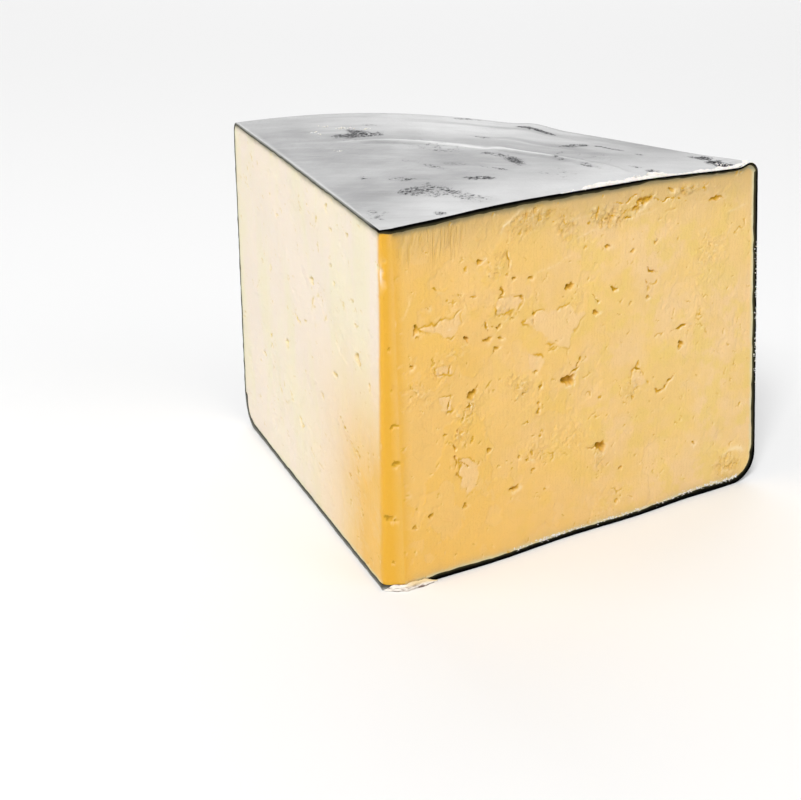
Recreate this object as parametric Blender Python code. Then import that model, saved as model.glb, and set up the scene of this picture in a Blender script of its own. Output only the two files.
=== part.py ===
"""A quarter of a wheel of black waxed cheddar, standing on its flat base.

The wheel's axis is near the tip edge. The cut faces run from there to the round side. Each face of the wedge is
a patch of triangles: its outline is worked out from the sizes below, its inner points follow the holes, cracks
and flaked plates, and neighbouring patches share their outline points, so that the whole is one closed solid.
"""

import math
import random

import bmesh
import bpy
from mathutils import Vector, geometry

MM = 0.001

# The wheel, in metres
WHEEL_RADIUS = 0.178
WHEEL_HEIGHT = 0.1455
TOP_EDGE_RADIUS = 0.0045
BASE_EDGE_RADIUS = 0.0135

# The two cuts, in degrees from +X, and how far they turn and lean between top and base
RIGHT_CUT = 31.8
LEFT_CUT = 112.3
CUT_TWIST = 0.5
TIP_LEAN = (0.0020, -0.0010)

# The narrow flat shaved off the tip edge: how far it reaches along each cut, at the top and at the base
SHAVE_RIGHT = (0.0045, 0.0085)
SHAVE_LEFT = (0.0010, 0.0050)
SHAVE_HOLLOW = 0.0004

# How the wheel has settled: the side spreads towards the base, and the top bows and sinks along the rim
SPREAD_RIGHT = 0.0150
SPREAD_LEFT = 0.0016
SIDE_WAVE = 0.0019
SIDE_DROP = 0.0006
TOP_BOW = 0.0022
RIM_START = -0.0012
RIM_RISE = 0.0021
RIM_WAVE = -0.0016

# Folds of the wax on the top: a crease along the rim, a bead in the right corner and a bump at the back
CREASE_RADIUS = 0.123
CREASE_DRIFT = 0.012
CREASE_WIDTH = 0.0024
CREASE_HEIGHT = 0.0009
CREASE_SPAN = (0.05, 0.82)
BEAD_HEIGHT = 0.0016
BEAD_WIDTH = 0.0032
BEAD_REACH = 0.09
BUMP_HEIGHT = 0.0014
BUMP_PLACE = 0.44
BUMP_WIDTH = 0.035

# Slow waves of the cut faces
WAVE_DEPTH = 0.0005
WAVE_ALONG = 0.071
WAVE_UP = 0.058

# Holes in the right cut, in mm: from the tip, up, half length, half width, and tilt in degrees
RIGHT_HOLES = (
    (42, 127, 1.9, 1.0, 10), (57, 118, 1.0, 0.9, 0), (65, 117, 1.0, 0.9, 0), (23, 120, 2.2, 0.8, -32),
    (84, 110, 2.2, 1.4, 15), (61, 110, 1.1, 0.9, 40), (14, 106, 1.6, 1.1, 80), (46, 96, 2.4, 1.9, 20),
    (51, 100, 1.1, 0.9, 0), (50, 91, 1.1, 0.9, 0), (97, 97, 1.6, 1.2, 0), (12, 92, 1.0, 0.8, 60),
    (85, 71, 2.8, 2.5, 30), (90, 78, 2.6, 0.9, 62), (39, 75, 2.2, 1.6, 40), (69, 78, 1.0, 0.8, 0),
    (63, 70, 1.0, 0.8, 0), (103, 38, 2.7, 2.4, -20), (47, 50, 1.0, 0.8, 0), (60, 30, 2.5, 1.2, 12),
    (36, 29, 1.3, 1.0, -40), (20, 29, 1.3, 1.0, 60), (13, 26, 1.1, 0.9, 30), (62, 43, 1.0, 0.8, 0),
    (69, 36, 1.0, 0.9, 0), (113, 10, 1.0, 0.8, 0), (114, 25, 1.0, 0.8, 0), (102, 123, 1.4, 0.8, -15),
    (114, 119, 1.0, 0.7, 0), (126, 121, 1.0, 0.7, 0), (143, 74, 2.1, 1.4, 15), (120, 70, 1.4, 1.0, 45),
    (118, 56, 1.0, 0.8, 0), (154, 27, 0.9, 0.8, 0), (124, 98, 1.1, 0.9, 0), (164, 127, 3.4, 0.8, 8),
)

# Holes in the left cut, the same way
LEFT_HOLES = (
    (57, 139, 1.1, 0.9, 80), (53, 131, 1.4, 0.8, 20), (36, 134, 1.5, 0.8, 0), (53, 117, 1.2, 0.9, 0),
    (78, 103, 2.4, 1.5, 10), (49, 111, 1.2, 0.8, 0), (30, 110, 1.4, 0.9, -20), (27, 101, 1.2, 0.8, 0),
    (26, 88, 4.0, 2.2, 12), (52, 72, 1.8, 1.2, 0), (68, 57, 1.6, 1.0, 30), (14, 81, 1.3, 0.9, 70),
    (28, 48, 1.8, 1.2, 50), (37, 35, 1.6, 1.0, 40), (25, 24, 1.5, 1.0, 80), (112, 64, 2.3, 1.6, -10),
    (131, 92, 1.7, 1.2, 25), (96, 33, 2.6, 1.7, 35), (146, 47, 1.9, 1.1, 0), (120, 119, 1.3, 0.9, 0),
)

# Cracks in the right cut, in mm: the points of each, from the tip and up
RIGHT_CRACKS = (
    ((54, 133), (54, 121), (52, 112), (49, 110)),
    ((71, 65), (71, 58), (73, 50)),
    ((31, 58), (32, 46), (34, 40), (38, 34)),
    ((134, 80), (143, 82), (152, 81)),
    ((129, 57), (134, 56), (139, 60)),
    ((123, 111), (123, 103)),
)
LEFT_CRACKS = (
    ((49, 57), (38, 53), (28, 47)),
    ((84, 84), (92, 80), (104, 82)),
    ((133, 62), (136, 52), (133, 44)),
)
CRACK_WIDTH = 0.0005
CRACK_DEPTH = 0.0008
CRACK_STEP = 0.004

# Plates that the knife has pulled off, in mm: the corners of each, from the tip and up
RIGHT_PLATES = (
    ((15, 106), (23, 108), (31, 107), (29, 100), (22, 103)),
    ((61, 99), (70, 91), (79, 85), (83, 85), (88, 92), (92, 98), (84, 101), (72, 103)),
    ((171, 4), (175, 13), (176, 19), (183, 19), (186, 15), (180, 6)),
)
LEFT_PLATES = (
    ((61, 92), (66, 99), (76, 97), (79, 89), (70, 85)),
    ((106, 40), (112, 50), (124, 49), (127, 41), (117, 35)),
)
PLATE_DEPTH = 0.0007
PLATE_EDGE = 0.0009

# Small pits, placed by a seeded draw on both cuts
SMALL_PITS = 30
SMALL_PIT_RADIUS = (0.0005, 0.0009)
PIT_MARGIN = 0.007
PIT_SEED = 41

# How finely each patch is divided
ARC_STEPS = 44
EDGE_STEPS = 28
HEIGHT_STEPS = 22
SIDE_STEPS = 8
ROUND_STEPS = 4
FACE_SPACING = 0.0085
TOP_SPACING = 0.013
RING_STEPS = 9
SMALL_RING_STEPS = 6
LEAST_GAP = 0.00045
CLEAR_GAP = 0.0030
WELD = 1e-6

# Materials: name, colour and roughness, in the order of the slots
CHEESE, BLOOMED_WAX, BLACK_WAX = range(3)
MATERIALS = (
    ("cheddar", (0.87, 0.58, 0.23, 1.0), 0.45),
    ("bloomed_wax", (0.36, 0.37, 0.38, 1.0), 0.5),
    ("black_wax", (0.012, 0.012, 0.013, 1.0), 0.4),
)


def lerp(low, high, share):
    return low + (high - low) * share


def smooth(share):
    share = min(max(share, 0.0), 1.0)
    return share * share * (3 - 2 * share)


def hump(distance, width):
    return math.exp(-((distance / width) ** 2))


def depth_share(z):
    """0 at the top of the wheel, 1 at its base."""
    return 1 - z / WHEEL_HEIGHT


def polar(reach, turn, z):
    """The point at this distance from the leaning axis. turn is 0 on the right cut and 1 on the left cut."""
    sunk = depth_share(z)
    angle = math.radians(lerp(RIGHT_CUT, LEFT_CUT, turn) + CUT_TWIST * sunk)
    return Vector(
        (TIP_LEAN[0] * sunk + reach * math.cos(angle), TIP_LEAN[1] * sunk + reach * math.sin(angle), z)
    )


def side_radius(turn, z):
    waves = -SIDE_DROP * math.sin(math.pi * turn) - SIDE_WAVE * math.sin(2 * math.pi * turn)
    spread = lerp(SPREAD_RIGHT, SPREAD_LEFT, smooth(turn))
    return WHEEL_RADIUS + waves + spread * depth_share(z)


def top_height(reach, turn):
    """The height of the top, with its bow, its sunken rim and the folds of the wax."""
    share = reach / WHEEL_RADIUS
    bow = TOP_BOW * lerp(1.0, 0.3, turn) * math.sin(math.pi * min(share, 1.0))
    rim = RIM_START + RIM_RISE * turn + RIM_WAVE * math.sin(2 * math.pi * turn)
    rim += BUMP_HEIGHT * hump(turn - BUMP_PLACE, BUMP_WIDTH)
    from_crease = reach - CREASE_RADIUS - CREASE_DRIFT * turn
    ends = smooth((turn - CREASE_SPAN[0]) / 0.08) * smooth((CREASE_SPAN[1] - turn) / 0.08)
    crease = CREASE_HEIGHT * hump(from_crease, CREASE_WIDTH) * ends
    bead = BEAD_HEIGHT * hump(reach - WHEEL_RADIUS + TOP_EDGE_RADIUS, BEAD_WIDTH) * hump(turn, BEAD_REACH)
    return WHEEL_HEIGHT + bow + rim * share**2 + crease + bead


def side_profile(turn):
    """(reach, height) down the round side, from where the top starts to round over to the flat base."""
    flat_end = side_radius(turn, WHEEL_HEIGHT) - TOP_EDGE_RADIUS
    start = top_height(flat_end, turn)
    points = [(flat_end, start)]
    for step in range(1, ROUND_STEPS + 1):
        angle = math.pi / 2 * step / ROUND_STEPS
        z = start - TOP_EDGE_RADIUS * (1 - math.cos(angle))
        points.append((side_radius(turn, z) - TOP_EDGE_RADIUS * (1 - math.sin(angle)), z))
    for step in range(1, SIDE_STEPS + 1):
        z = lerp(start - TOP_EDGE_RADIUS, BASE_EDGE_RADIUS, step / SIDE_STEPS)
        points.append((side_radius(turn, z), z))
    for step in range(1, ROUND_STEPS + 1):
        angle = math.pi / 2 * step / ROUND_STEPS
        z = BASE_EDGE_RADIUS * (1 - math.sin(angle))
        points.append((side_radius(turn, z) - BASE_EDGE_RADIUS * (1 - math.cos(angle)), z))
    return points


def shave_reach(turn, z):
    """Where the shaved tip meets the cut: turn is 0 for the right cut and 1 for the left cut."""
    top, base = SHAVE_LEFT if turn else SHAVE_RIGHT
    return lerp(top, base, depth_share(z))


def outline_of_hole(angle, phase):
    """An uneven ring, as a share of the hole's half length or half width."""
    return 1 + 0.16 * math.sin(2 * angle + phase) + 0.12 * math.sin(3 * angle + 2.3 * phase)


def in_polygon(point, corners):
    inside = False
    for (x0, y0), (x1, y1) in zip(corners, corners[1:] + corners[:1]):
        if (y0 > point[1]) != (y1 > point[1]):
            inside ^= point[0] < (x1 - x0) * (point[1] - y0) / (y1 - y0) + x0
    return inside


def to_segment(point, start, end):
    run = Vector(end) - Vector(start)
    share = (Vector(point) - Vector(start)).dot(run) / run.length_squared
    return (Vector(point) - Vector(start) - run * min(max(share, 0.0), 1.0)).length


def metres(points):
    return tuple((x * MM, y * MM) for x, y in points)


class CutFace:
    """One cut through the wheel, with the relief that the knife and the paste leave on it."""

    def __init__(self, turn, holes, cracks, plates):
        self.turn = turn
        self.holes = [(x * MM, y * MM, a * MM, b * MM, math.radians(tilt)) for x, y, a, b, tilt in holes]
        self.cracks = [metres(crack) for crack in cracks]
        self.plates = [metres(plate) for plate in plates]
        self.pits = self.draw_pits()

    def draw_pits(self):
        """Small round pits, clear of the holes and of each other."""
        draw = random.Random(PIT_SEED + self.turn)
        pits = []
        while len(pits) < SMALL_PITS:
            radius = draw.uniform(*SMALL_PIT_RADIUS)
            x = draw.uniform(PIT_MARGIN + SHAVE_RIGHT[1], WHEEL_RADIUS - PIT_MARGIN)
            y = draw.uniform(PIT_MARGIN, WHEEL_HEIGHT - PIT_MARGIN)
            taken = self.holes + pits
            if all(math.hypot(x - h[0], y - h[1]) > h[2] + CLEAR_GAP + radius for h in taken):
                pits.append((x, y, radius, radius, 0.0))
        return pits

    def ring(self, hole, share, steps):
        """Points round a hole, at this share of its size."""
        x, y, a, b, tilt = hole
        for step in range(steps):
            angle = 2 * math.pi * step / steps
            size = share * outline_of_hole(angle, x / MM)
            along, across = a * size * math.cos(angle), b * size * math.sin(angle)
            yield (
                x + along * math.cos(tilt) - across * math.sin(tilt),
                y + along * math.sin(tilt) + across * math.cos(tilt),
            )

    def hole_depth(self, point):
        deepest = 0.0
        for x, y, a, b, tilt in self.holes + self.pits:
            dx, dy = point[0] - x, point[1] - y
            if abs(dx) + abs(dy) > 3 * a:
                continue
            along = (dx * math.cos(tilt) + dy * math.sin(tilt)) / a
            across = (dy * math.cos(tilt) - dx * math.sin(tilt)) / b
            size = outline_of_hole(math.atan2(across, along), x / MM)
            share = math.hypot(along, across) / size
            deepest = max(deepest, 1.5 * b * max(0.0, 1 - share**2) ** 0.6)
        return deepest

    def crack_depth(self, point):
        deepest = 0.0
        for crack in self.cracks:
            away = min(to_segment(point, start, end) for start, end in zip(crack, crack[1:]))
            deepest = max(deepest, CRACK_DEPTH * max(0.0, 1 - away / CRACK_WIDTH))
        return deepest

    def plate_depth(self, point):
        for plate in self.plates:
            if in_polygon(point, plate):
                away = min(to_segment(point, a, b) for a, b in zip(plate, plate[1:] + plate[:1]))
                return PLATE_DEPTH * min(away / PLATE_EDGE, 1.0)
        return 0.0

    def wave(self, reach, z):
        """A slow unevenness, which fades out at the tip and at the rim."""
        fade = smooth((reach - SHAVE_RIGHT[1]) / 0.02) * smooth((WHEEL_RADIUS - 0.008 - reach) / 0.02)
        along = math.sin(2 * math.pi * reach / WAVE_ALONG + self.turn)
        up = math.cos(2 * math.pi * z / WAVE_UP + 1.3 * self.turn)
        return WAVE_DEPTH * fade * along * up

    def place(self, reach, z, relief=0.0):
        """The face's point, moved along its normal by its wave and this much inwards."""
        angle = math.radians(lerp(RIGHT_CUT, LEFT_CUT, self.turn))
        inwards = Vector((-math.sin(angle), math.cos(angle), 0)) * (-1 if self.turn else 1)
        return polar(reach, self.turn, z) + inwards * (relief + self.wave(reach, z))

    def lift(self, point):
        deepest = max(self.hole_depth(point), self.crack_depth(point), self.plate_depth(point))
        return self.place(point[0], point[1], deepest)

    def shaved_edge(self):
        """Up the edge that the cut shares with the shaved tip."""
        for step in range(HEIGHT_STEPS + 1):
            reach = shave_reach(self.turn, WHEEL_HEIGHT * step / HEIGHT_STEPS)
            z = top_height(reach, self.turn) * step / HEIGHT_STEPS
            yield reach, z

    def row(self, ends):
        for step in range(EDGE_STEPS + 1):
            yield lerp(ends[0], ends[1], step / EDGE_STEPS)

    def top_edge(self):
        near, far = shave_reach(self.turn, WHEEL_HEIGHT), side_profile(self.turn)[0][0]
        return [(reach, top_height(reach, self.turn)) for reach in self.row((near, far))]

    def base_edge(self):
        near, far = shave_reach(self.turn, 0.0), side_profile(self.turn)[-1][0]
        return [(reach, 0.0) for reach in self.row((near, far))]

    def outline(self):
        loop = self.base_edge() + side_profile(self.turn)[::-1][1:] + self.top_edge()[::-1][1:]
        return loop + list(self.shaved_edge())[::-1][1:-1]

    def inner_points(self):
        """Points on the relief first, then an even spread between them."""
        points = []
        for hole in self.holes:
            for share in (1.0, 0.68):
                points += self.ring(hole, share, RING_STEPS)
            points.append(hole[:2])
        for pit in self.pits:
            points += self.ring(pit, 1.0, SMALL_RING_STEPS)
            points.append(pit[:2])
        for crack in self.cracks:
            for start, end in zip(crack, crack[1:]):
                points += self.crack_points(Vector(start), Vector(end))
        for plate in self.plates:
            points += self.plate_points(plate)
        return points

    def crack_points(self, start, end):
        steps = max(2, round((end - start).length / CRACK_STEP))
        side = (end - start).normalized().orthogonal() * CRACK_WIDTH
        for step in range(steps + 1):
            middle = start.lerp(end, step / steps)
            for point in (middle, middle + side, middle - side):
                yield point.x, point.y

    def plate_points(self, plate):
        middle = sum((Vector(corner) for corner in plate), Vector((0, 0))) / len(plate)
        for start, end in zip(plate, plate[1:] + plate[:1]):
            for share in (0.0, 0.5):
                edge = Vector(start).lerp(Vector(end), share)
                inner = edge + (middle - edge).normalized() * PLATE_EDGE * 1.5
                yield edge.x, edge.y
                yield inner.x, inner.y


def spread(low, high, spacing, seed):
    """A jittered triangular grid over the box."""
    draw = random.Random(seed)
    rows = int((high[1] - low[1]) / (spacing * 0.87)) + 1
    for row in range(rows):
        for column in range(int((high[0] - low[0]) / spacing) + 1):
            yield (
                low[0] + (column + 0.5 * (row % 2) + draw.uniform(-0.15, 0.15)) * spacing,
                low[1] + (row + draw.uniform(-0.15, 0.15)) * spacing * 0.87,
            )


def thinned(points, outline, gap):
    """The points that lie inside the outline, clear of it and of each other."""
    kept = []
    pairs = list(zip(outline, outline[1:] + outline[:1]))
    for point in points:
        if not in_polygon(point, outline):
            continue
        if min(to_segment(point, start, end) for start, end in pairs) < gap:
            continue
        if all(math.hypot(point[0] - x, point[1] - y) > gap for x, y in kept):
            kept.append(point)
    return kept


def add_patch(bm, outline, rim_points, inner, lift, slot):
    """Triangles over a flat outline. rim_points are the outline's places in space, and lift places the rest."""
    flat = [Vector(point) for point in outline + inner]
    places = rim_points + [lift(point) for point in inner]
    loop = list(range(len(outline)))
    found = geometry.delaunay_2d_cdt(flat, [], [loop], 1, 1e-9)
    verts = [bm.verts.new(places[origins[0]]) for origins in found[3]]
    for face in found[2]:
        bm.faces.new([verts[index] for index in face]).material_index = slot


def add_grid(bm, rows, slot):
    """Quads between neighbouring rows of points, each cut in two."""
    verts = [[bm.verts.new(point) for point in row] for row in rows]
    for lower, upper in zip(verts, verts[1:]):
        for a, b, c, d in zip(lower, lower[1:], upper[1:], upper):
            bm.faces.new((a, b, c)).material_index = slot
            bm.faces.new((a, c, d)).material_index = slot


def add_cut(bm, face):
    outline = face.outline()
    relief = thinned(face.inner_points(), outline, LEAST_GAP)
    even = spread((0.0, 0.0), (side_radius(0, 0), WHEEL_HEIGHT), FACE_SPACING, face.turn)
    near = [p for p in even if all(math.hypot(p[0] - x, p[1] - y) > CLEAR_GAP for x, y in relief)]
    inner = relief + thinned(near, outline, CLEAR_GAP)
    add_patch(bm, outline, [face.place(*point) for point in outline], inner, face.lift, CHEESE)


def shaved_row(right, left, step):
    """The three points across the shaved tip at one height: its edges and its slightly hollow middle."""
    points = [face.place(*list(face.shaved_edge())[step]) for face in (right, left)]
    middle = points[0].lerp(points[1], 0.5)
    middle.y += SHAVE_HOLLOW * math.sin(math.pi * step / HEIGHT_STEPS)
    return points[0], middle, points[1]


def add_shaved_tip(bm, right, left):
    add_grid(bm, [shaved_row(right, left, step) for step in range(HEIGHT_STEPS + 1)], CHEESE)


def add_side(bm):
    rows = []
    for step in range(ARC_STEPS + 1):
        turn = step / ARC_STEPS
        rows.append([polar(reach, turn, z) for reach, z in side_profile(turn)])
    add_grid(bm, rows, BLACK_WAX)


def crease_points():
    """Rows of points along the crease on the top, on its crest and at both its feet."""
    for step in range(1, ARC_STEPS):
        turn = step / ARC_STEPS
        for foot in (-2.0, -0.7, 0.7, 2.0):
            reach = CREASE_RADIUS + CREASE_DRIFT * turn + foot * CREASE_WIDTH
            yield tuple(polar(reach, turn, WHEEL_HEIGHT).xy)


def bead_points():
    """Points along the rim, which hold the bead of wax in the right corner."""
    for step in range(1, ARC_STEPS):
        turn = step / ARC_STEPS
        for foot in (1.0, 2.2):
            reach = side_profile(turn)[0][0] - foot * BEAD_WIDTH
            yield tuple(polar(reach, turn, WHEEL_HEIGHT).xy)


def lift_top(point):
    reach = math.hypot(*point)
    turn = (math.degrees(math.atan2(point[1], point[0])) - RIGHT_CUT) / (LEFT_CUT - RIGHT_CUT)
    return Vector((point[0], point[1], top_height(reach, min(max(turn, 0.0), 1.0))))


def add_top_and_base(bm, right, left):
    """The waxed top and the flat base, each inside its two cut edges, its arc and the shaved tip."""
    turns = [step / ARC_STEPS for step in range(1, ARC_STEPS)]
    low, high = (-0.08, 0.0), (0.2, 0.2)
    for top in (True, False):
        edges = [face.top_edge() if top else face.base_edge() for face in (right, left)]
        run_out = [right.place(*point) for point in edges[0]]
        run_back = [left.place(*point) for point in reversed(edges[1])]
        profiles = [(turn, side_profile(turn)[0 if top else -1]) for turn in turns]
        arc = [polar(reach, turn, z) for turn, (reach, z) in profiles]
        tip = shaved_row(right, left, HEIGHT_STEPS if top else 0)[1]
        rim = run_out + arc + run_back + [tip]
        outline = [tuple(point.xy) for point in rim]
        guides = list(crease_points()) + list(bead_points()) if top else []
        folds = thinned(guides, outline, LEAST_GAP * 2)
        even = spread(low, high, TOP_SPACING, ARC_STEPS)
        near = [p for p in even if all(math.hypot(p[0] - x, p[1] - y) > CLEAR_GAP for x, y in folds)]
        inner = folds + thinned(near, outline, CLEAR_GAP)
        lift = lift_top if top else (lambda point: Vector((point[0], point[1], 0.0)))
        add_patch(bm, outline, rim, inner, lift, BLOOMED_WAX if top else BLACK_WAX)


def material(name, colour, roughness):
    made = bpy.data.materials.new(name)
    made.use_nodes = True
    shader = made.node_tree.nodes["Principled BSDF"]
    shader.inputs["Base Color"].default_value = colour
    shader.inputs["Roughness"].default_value = roughness
    shader.inputs["Metallic"].default_value = 0.0
    return made


def centre_on_base(mesh):
    """Puts the origin under the middle of the wedge's box, on its base."""
    xs = [vertex.co.x for vertex in mesh.vertices]
    ys = [vertex.co.y for vertex in mesh.vertices]
    middle = Vector(((min(xs) + max(xs)) / 2, (min(ys) + max(ys)) / 2, 0))
    for vertex in mesh.vertices:
        vertex.co -= middle


def cheddar_block():
    right = CutFace(0, RIGHT_HOLES, RIGHT_CRACKS, RIGHT_PLATES)
    left = CutFace(1, LEFT_HOLES, LEFT_CRACKS, LEFT_PLATES)
    bm = bmesh.new()
    add_cut(bm, right)
    add_cut(bm, left)
    add_shaved_tip(bm, right, left)
    add_side(bm)
    add_top_and_base(bm, right, left)
    bmesh.ops.remove_doubles(bm, verts=bm.verts, dist=WELD)
    bmesh.ops.recalc_face_normals(bm, faces=bm.faces)
    mesh = bpy.data.meshes.new("cheddar_block")
    bm.to_mesh(mesh)
    bm.free()
    for name, colour, roughness in MATERIALS:
        mesh.materials.append(material(name, colour, roughness))
    centre_on_base(mesh)
    mesh.shade_smooth()
    mesh.set_sharp_from_angle(angle=math.radians(40))
    block = bpy.data.objects.new("cheddar_block", mesh)
    bpy.context.scene.collection.objects.link(block)
    return block


for leftover in list(bpy.data.objects):
    bpy.data.objects.remove(leftover, do_unlink=True)
cheddar_block()
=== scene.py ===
"""The looks of a quarter wheel of black waxed cheddar.

The paste is one closed mesh with the holes, cracks, flaked plates and scrapes of its cut faces. The wax is a thin
closed shell over its top, side and base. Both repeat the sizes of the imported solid, which they replace, and are
worked out in the wheel's own frame, with its axis at the tip, before they are moved onto the solid.
"""

from math import cos, dist, hypot, pi, radians, sin

import bmesh
import bpy
import numpy as np
from mathutils import Matrix, Vector

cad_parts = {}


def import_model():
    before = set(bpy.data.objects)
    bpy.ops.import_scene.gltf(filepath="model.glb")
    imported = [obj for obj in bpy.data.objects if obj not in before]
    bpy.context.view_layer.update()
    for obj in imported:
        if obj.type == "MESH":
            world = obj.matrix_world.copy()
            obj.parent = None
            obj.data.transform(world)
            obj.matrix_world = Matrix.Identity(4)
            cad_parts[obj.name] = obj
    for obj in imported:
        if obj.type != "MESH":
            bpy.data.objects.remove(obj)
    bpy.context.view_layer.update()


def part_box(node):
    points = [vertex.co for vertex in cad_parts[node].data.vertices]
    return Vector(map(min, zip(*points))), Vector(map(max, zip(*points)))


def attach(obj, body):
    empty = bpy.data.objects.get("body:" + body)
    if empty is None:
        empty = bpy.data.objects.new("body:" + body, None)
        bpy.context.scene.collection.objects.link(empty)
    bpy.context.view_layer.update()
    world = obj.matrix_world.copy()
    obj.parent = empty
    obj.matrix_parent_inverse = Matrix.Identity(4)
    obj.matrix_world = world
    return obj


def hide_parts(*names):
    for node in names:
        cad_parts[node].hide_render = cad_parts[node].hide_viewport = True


MM = 0.001
NODE = "cheddar_block"

# The wheel, in metres and degrees, as in the solid but for the radius of its crease
WHEEL_RADIUS = 0.178
WHEEL_HEIGHT = 0.1455
TOP_EDGE_RADIUS = 0.0045
BASE_EDGE_RADIUS = 0.0135
RIGHT_CUT = 31.8
LEFT_CUT = 112.3
CUT_TWIST = 0.5
TIP_LEAN = (0.002, -0.001)
SIDE_WAVE = 0.0019
SIDE_DROP = 0.0006
TOP_BOW = 0.0022
RIM_START = -0.0012
RIM_RISE = 0.0021
RIM_WAVE = -0.0016
CREASE_RADIUS = 0.121
CREASE_WIDTH = 0.0024
CREASE_HEIGHT = 0.0009
CREASE_SPAN = (0.05, 0.82)
BEAD_HEIGHT = 0.0016
BEAD_WIDTH = 0.0032
BEAD_REACH = 0.09
BUMP_HEIGHT = 0.0014
BUMP_PLACE = 0.44
BUMP_WIDTH = 0.035

# How far the tip is shaved on the right cut and the left, each at the top and the base, and how the side spreads there
SHAVE = ((0.0045, 0.0085), (0.001, 0.005))
SPREAD = (0.015, 0.0016)

# The slow wave of the cuts: its depth and lengths, over what length it fades out, and how far from the rim
WAVE_DEPTH = 0.0005
WAVE_ALONG = 0.071
WAVE_UP = 0.058
WAVE_FADE = 0.02
WAVE_CLEAR = 0.008

# The wax: how thick it shows on the cuts, how far its cut edge stands proud of the paste and how unevenly, how light
# the depth of the base's cut is, how wide the cuts' wave is, and by how many mm the left cut edge is grey
WAX_TOP_RIGHT = (0.002, 0.0013)
WAX_THINS_AT = (0.108, 0.124)
WAX_TOP_LEFT = 0.0013
WAX_SIDE = (0.0022, 0.0007)
WAX_BASE = (0.0023, 0.0029)
WAX_THICKENS_AT = (0.12, 0.17)
WAX_PROUD = 0.00025
WAX_UNEVEN = 0.00026
BASE_CUT_SHADE = 0.72
EDGE_BLEND = 0.05
CUT_GREYS_BY = 14

# Across the cut edge of the wax: share of its thickness, and share of how far it stands proud
EDGE_PROFILE = ((0.1, 0.75), (0.38, 1.0), (0.7, 1.0), (0.93, 0.7))

# Holes in the right cut, the left cut and the shaved tip: mm across and up, half length, half width, and tilt
RIGHT_HOLES = (
    (42, 127, 1.9, 1, 10), (57, 118, 1, 0.9, 0), (65, 117, 1, 0.9, 0), (23, 120, 2.2, 0.45, -32),
    (84, 110, 2.2, 1.4, 15), (61, 110, 1.1, 0.9, 40), (14, 106, 1.6, 1.1, 80), (46, 96, 2.2, 0.9, 20),
    (51, 100, 1.1, 0.9, 0), (50, 91, 1.1, 0.9, 0), (97, 97, 1.6, 1.2, 0), (12, 92, 1, 0.8, 60),
    (85, 71, 2.8, 2.5, 30), (90, 78, 2.6, 0.9, 62), (39, 75, 2.2, 1.6, 40), (69, 78, 1, 0.8, 0),
    (63, 70, 1, 0.8, 0), (103, 38, 2.7, 2.4, -20), (47, 50, 1, 0.8, 0), (60, 30, 2.5, 1.2, 12),
    (36, 29, 1.3, 1, -40), (20, 29, 1.3, 1, 60), (13, 26, 1.1, 0.9, 30), (62, 43, 1, 0.8, 0), (69, 36, 1, 0.9, 0),
    (113, 10, 1, 0.8, 0), (114, 25, 1, 0.8, 0), (102, 123, 1.4, 0.8, -15), (114, 119, 1, 0.7, 0),
    (126, 121, 1, 0.7, 0), (143, 74, 2.1, 1.4, 15), (120, 70, 1.4, 1, 45), (118, 56, 1, 0.8, 0),
    (154, 27, 0.9, 0.8, 0), (124, 98, 1.1, 0.9, 0), (157, 134, 3.4, 0.95, -3), (36, 125, 1.1, 0.5, 70),
    (54, 120, 0.7, 0.5, 0), (15, 103, 0.8, 0.6, 20), (52, 95, 1.3, 0.7, -30), (57, 102, 1.3, 0.4, -8),
    (36, 98, 0.9, 1.3, 20), (93, 79, 1.1, 0.4, 55), (86, 105, 0.6, 0.5, 0), (81, 106, 0.6, 0.4, 30),
    (115, 97, 0.8, 0.5, 50), (47, 77, 1.8, 0.4, 48), (49, 75, 0.8, 0.4, 40), (27, 61, 0.9, 0.6, 0),
    (34, 60, 0.7, 0.5, 40), (56, 43, 0.6, 0.5, 0), (66, 41, 1.9, 0.5, -25), (39, 56, 1, 0.5, 60),
    (10, 40, 0.9, 0.4, -20), (14, 33, 0.7, 0.4, -60), (12, 80, 0.8, 0.4, 20), (75, 26, 0.7, 0.5, 0),
    (33, 116, 1, 0.4, -10), (120, 138.2, 2.6, 0.9, 18), (115, 136.6, 2, 0.8, 30), (123, 139, 1.2, 0.9, 70),
    (110, 135.4, 1.6, 0.5, 40), (96, 137, 2.4, 0.6, 78), (104, 134.5, 1.2, 0.5, 10), (133, 140.5, 1.4, 0.8, -35),
    (134, 136.8, 1.2, 0.4, 75), (139, 140.2, 1.2, 0.4, 0), (144, 140.2, 1.6, 0.5, 10),
    (150, 138.5, 1.4, 0.4, -50), (92, 134, 1.2, 0.5, 20),
)
LEFT_HOLES = (
    (57, 139, 1.1, 0.9, 80), (53, 131, 1.4, 0.8, 20), (36, 134, 1.5, 0.8, 0), (53, 117, 1.2, 0.9, 0),
    (78, 103, 2.4, 1.5, 10), (49, 111, 1.2, 0.8, 0), (30, 110, 1.4, 0.9, -20), (27, 101, 1.2, 0.8, 0),
    (26, 88, 2.8, 2.3, 12), (52, 72, 1.8, 1.2, 0), (68, 57, 1.6, 1, 30), (14, 81, 1.3, 0.9, 70),
    (28, 48, 1.8, 1.2, 50), (37, 35, 1.6, 1, 40), (25, 24, 1.5, 1, 80), (112, 64, 2.3, 1.6, -10),
    (131, 92, 1.7, 1.2, 25), (96, 33, 2.6, 1.7, 35), (146, 47, 1.9, 1.1, 0), (120, 119, 1.3, 0.9, 0),
    (3.2, 131, 1.4, 1, 60),
)
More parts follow.
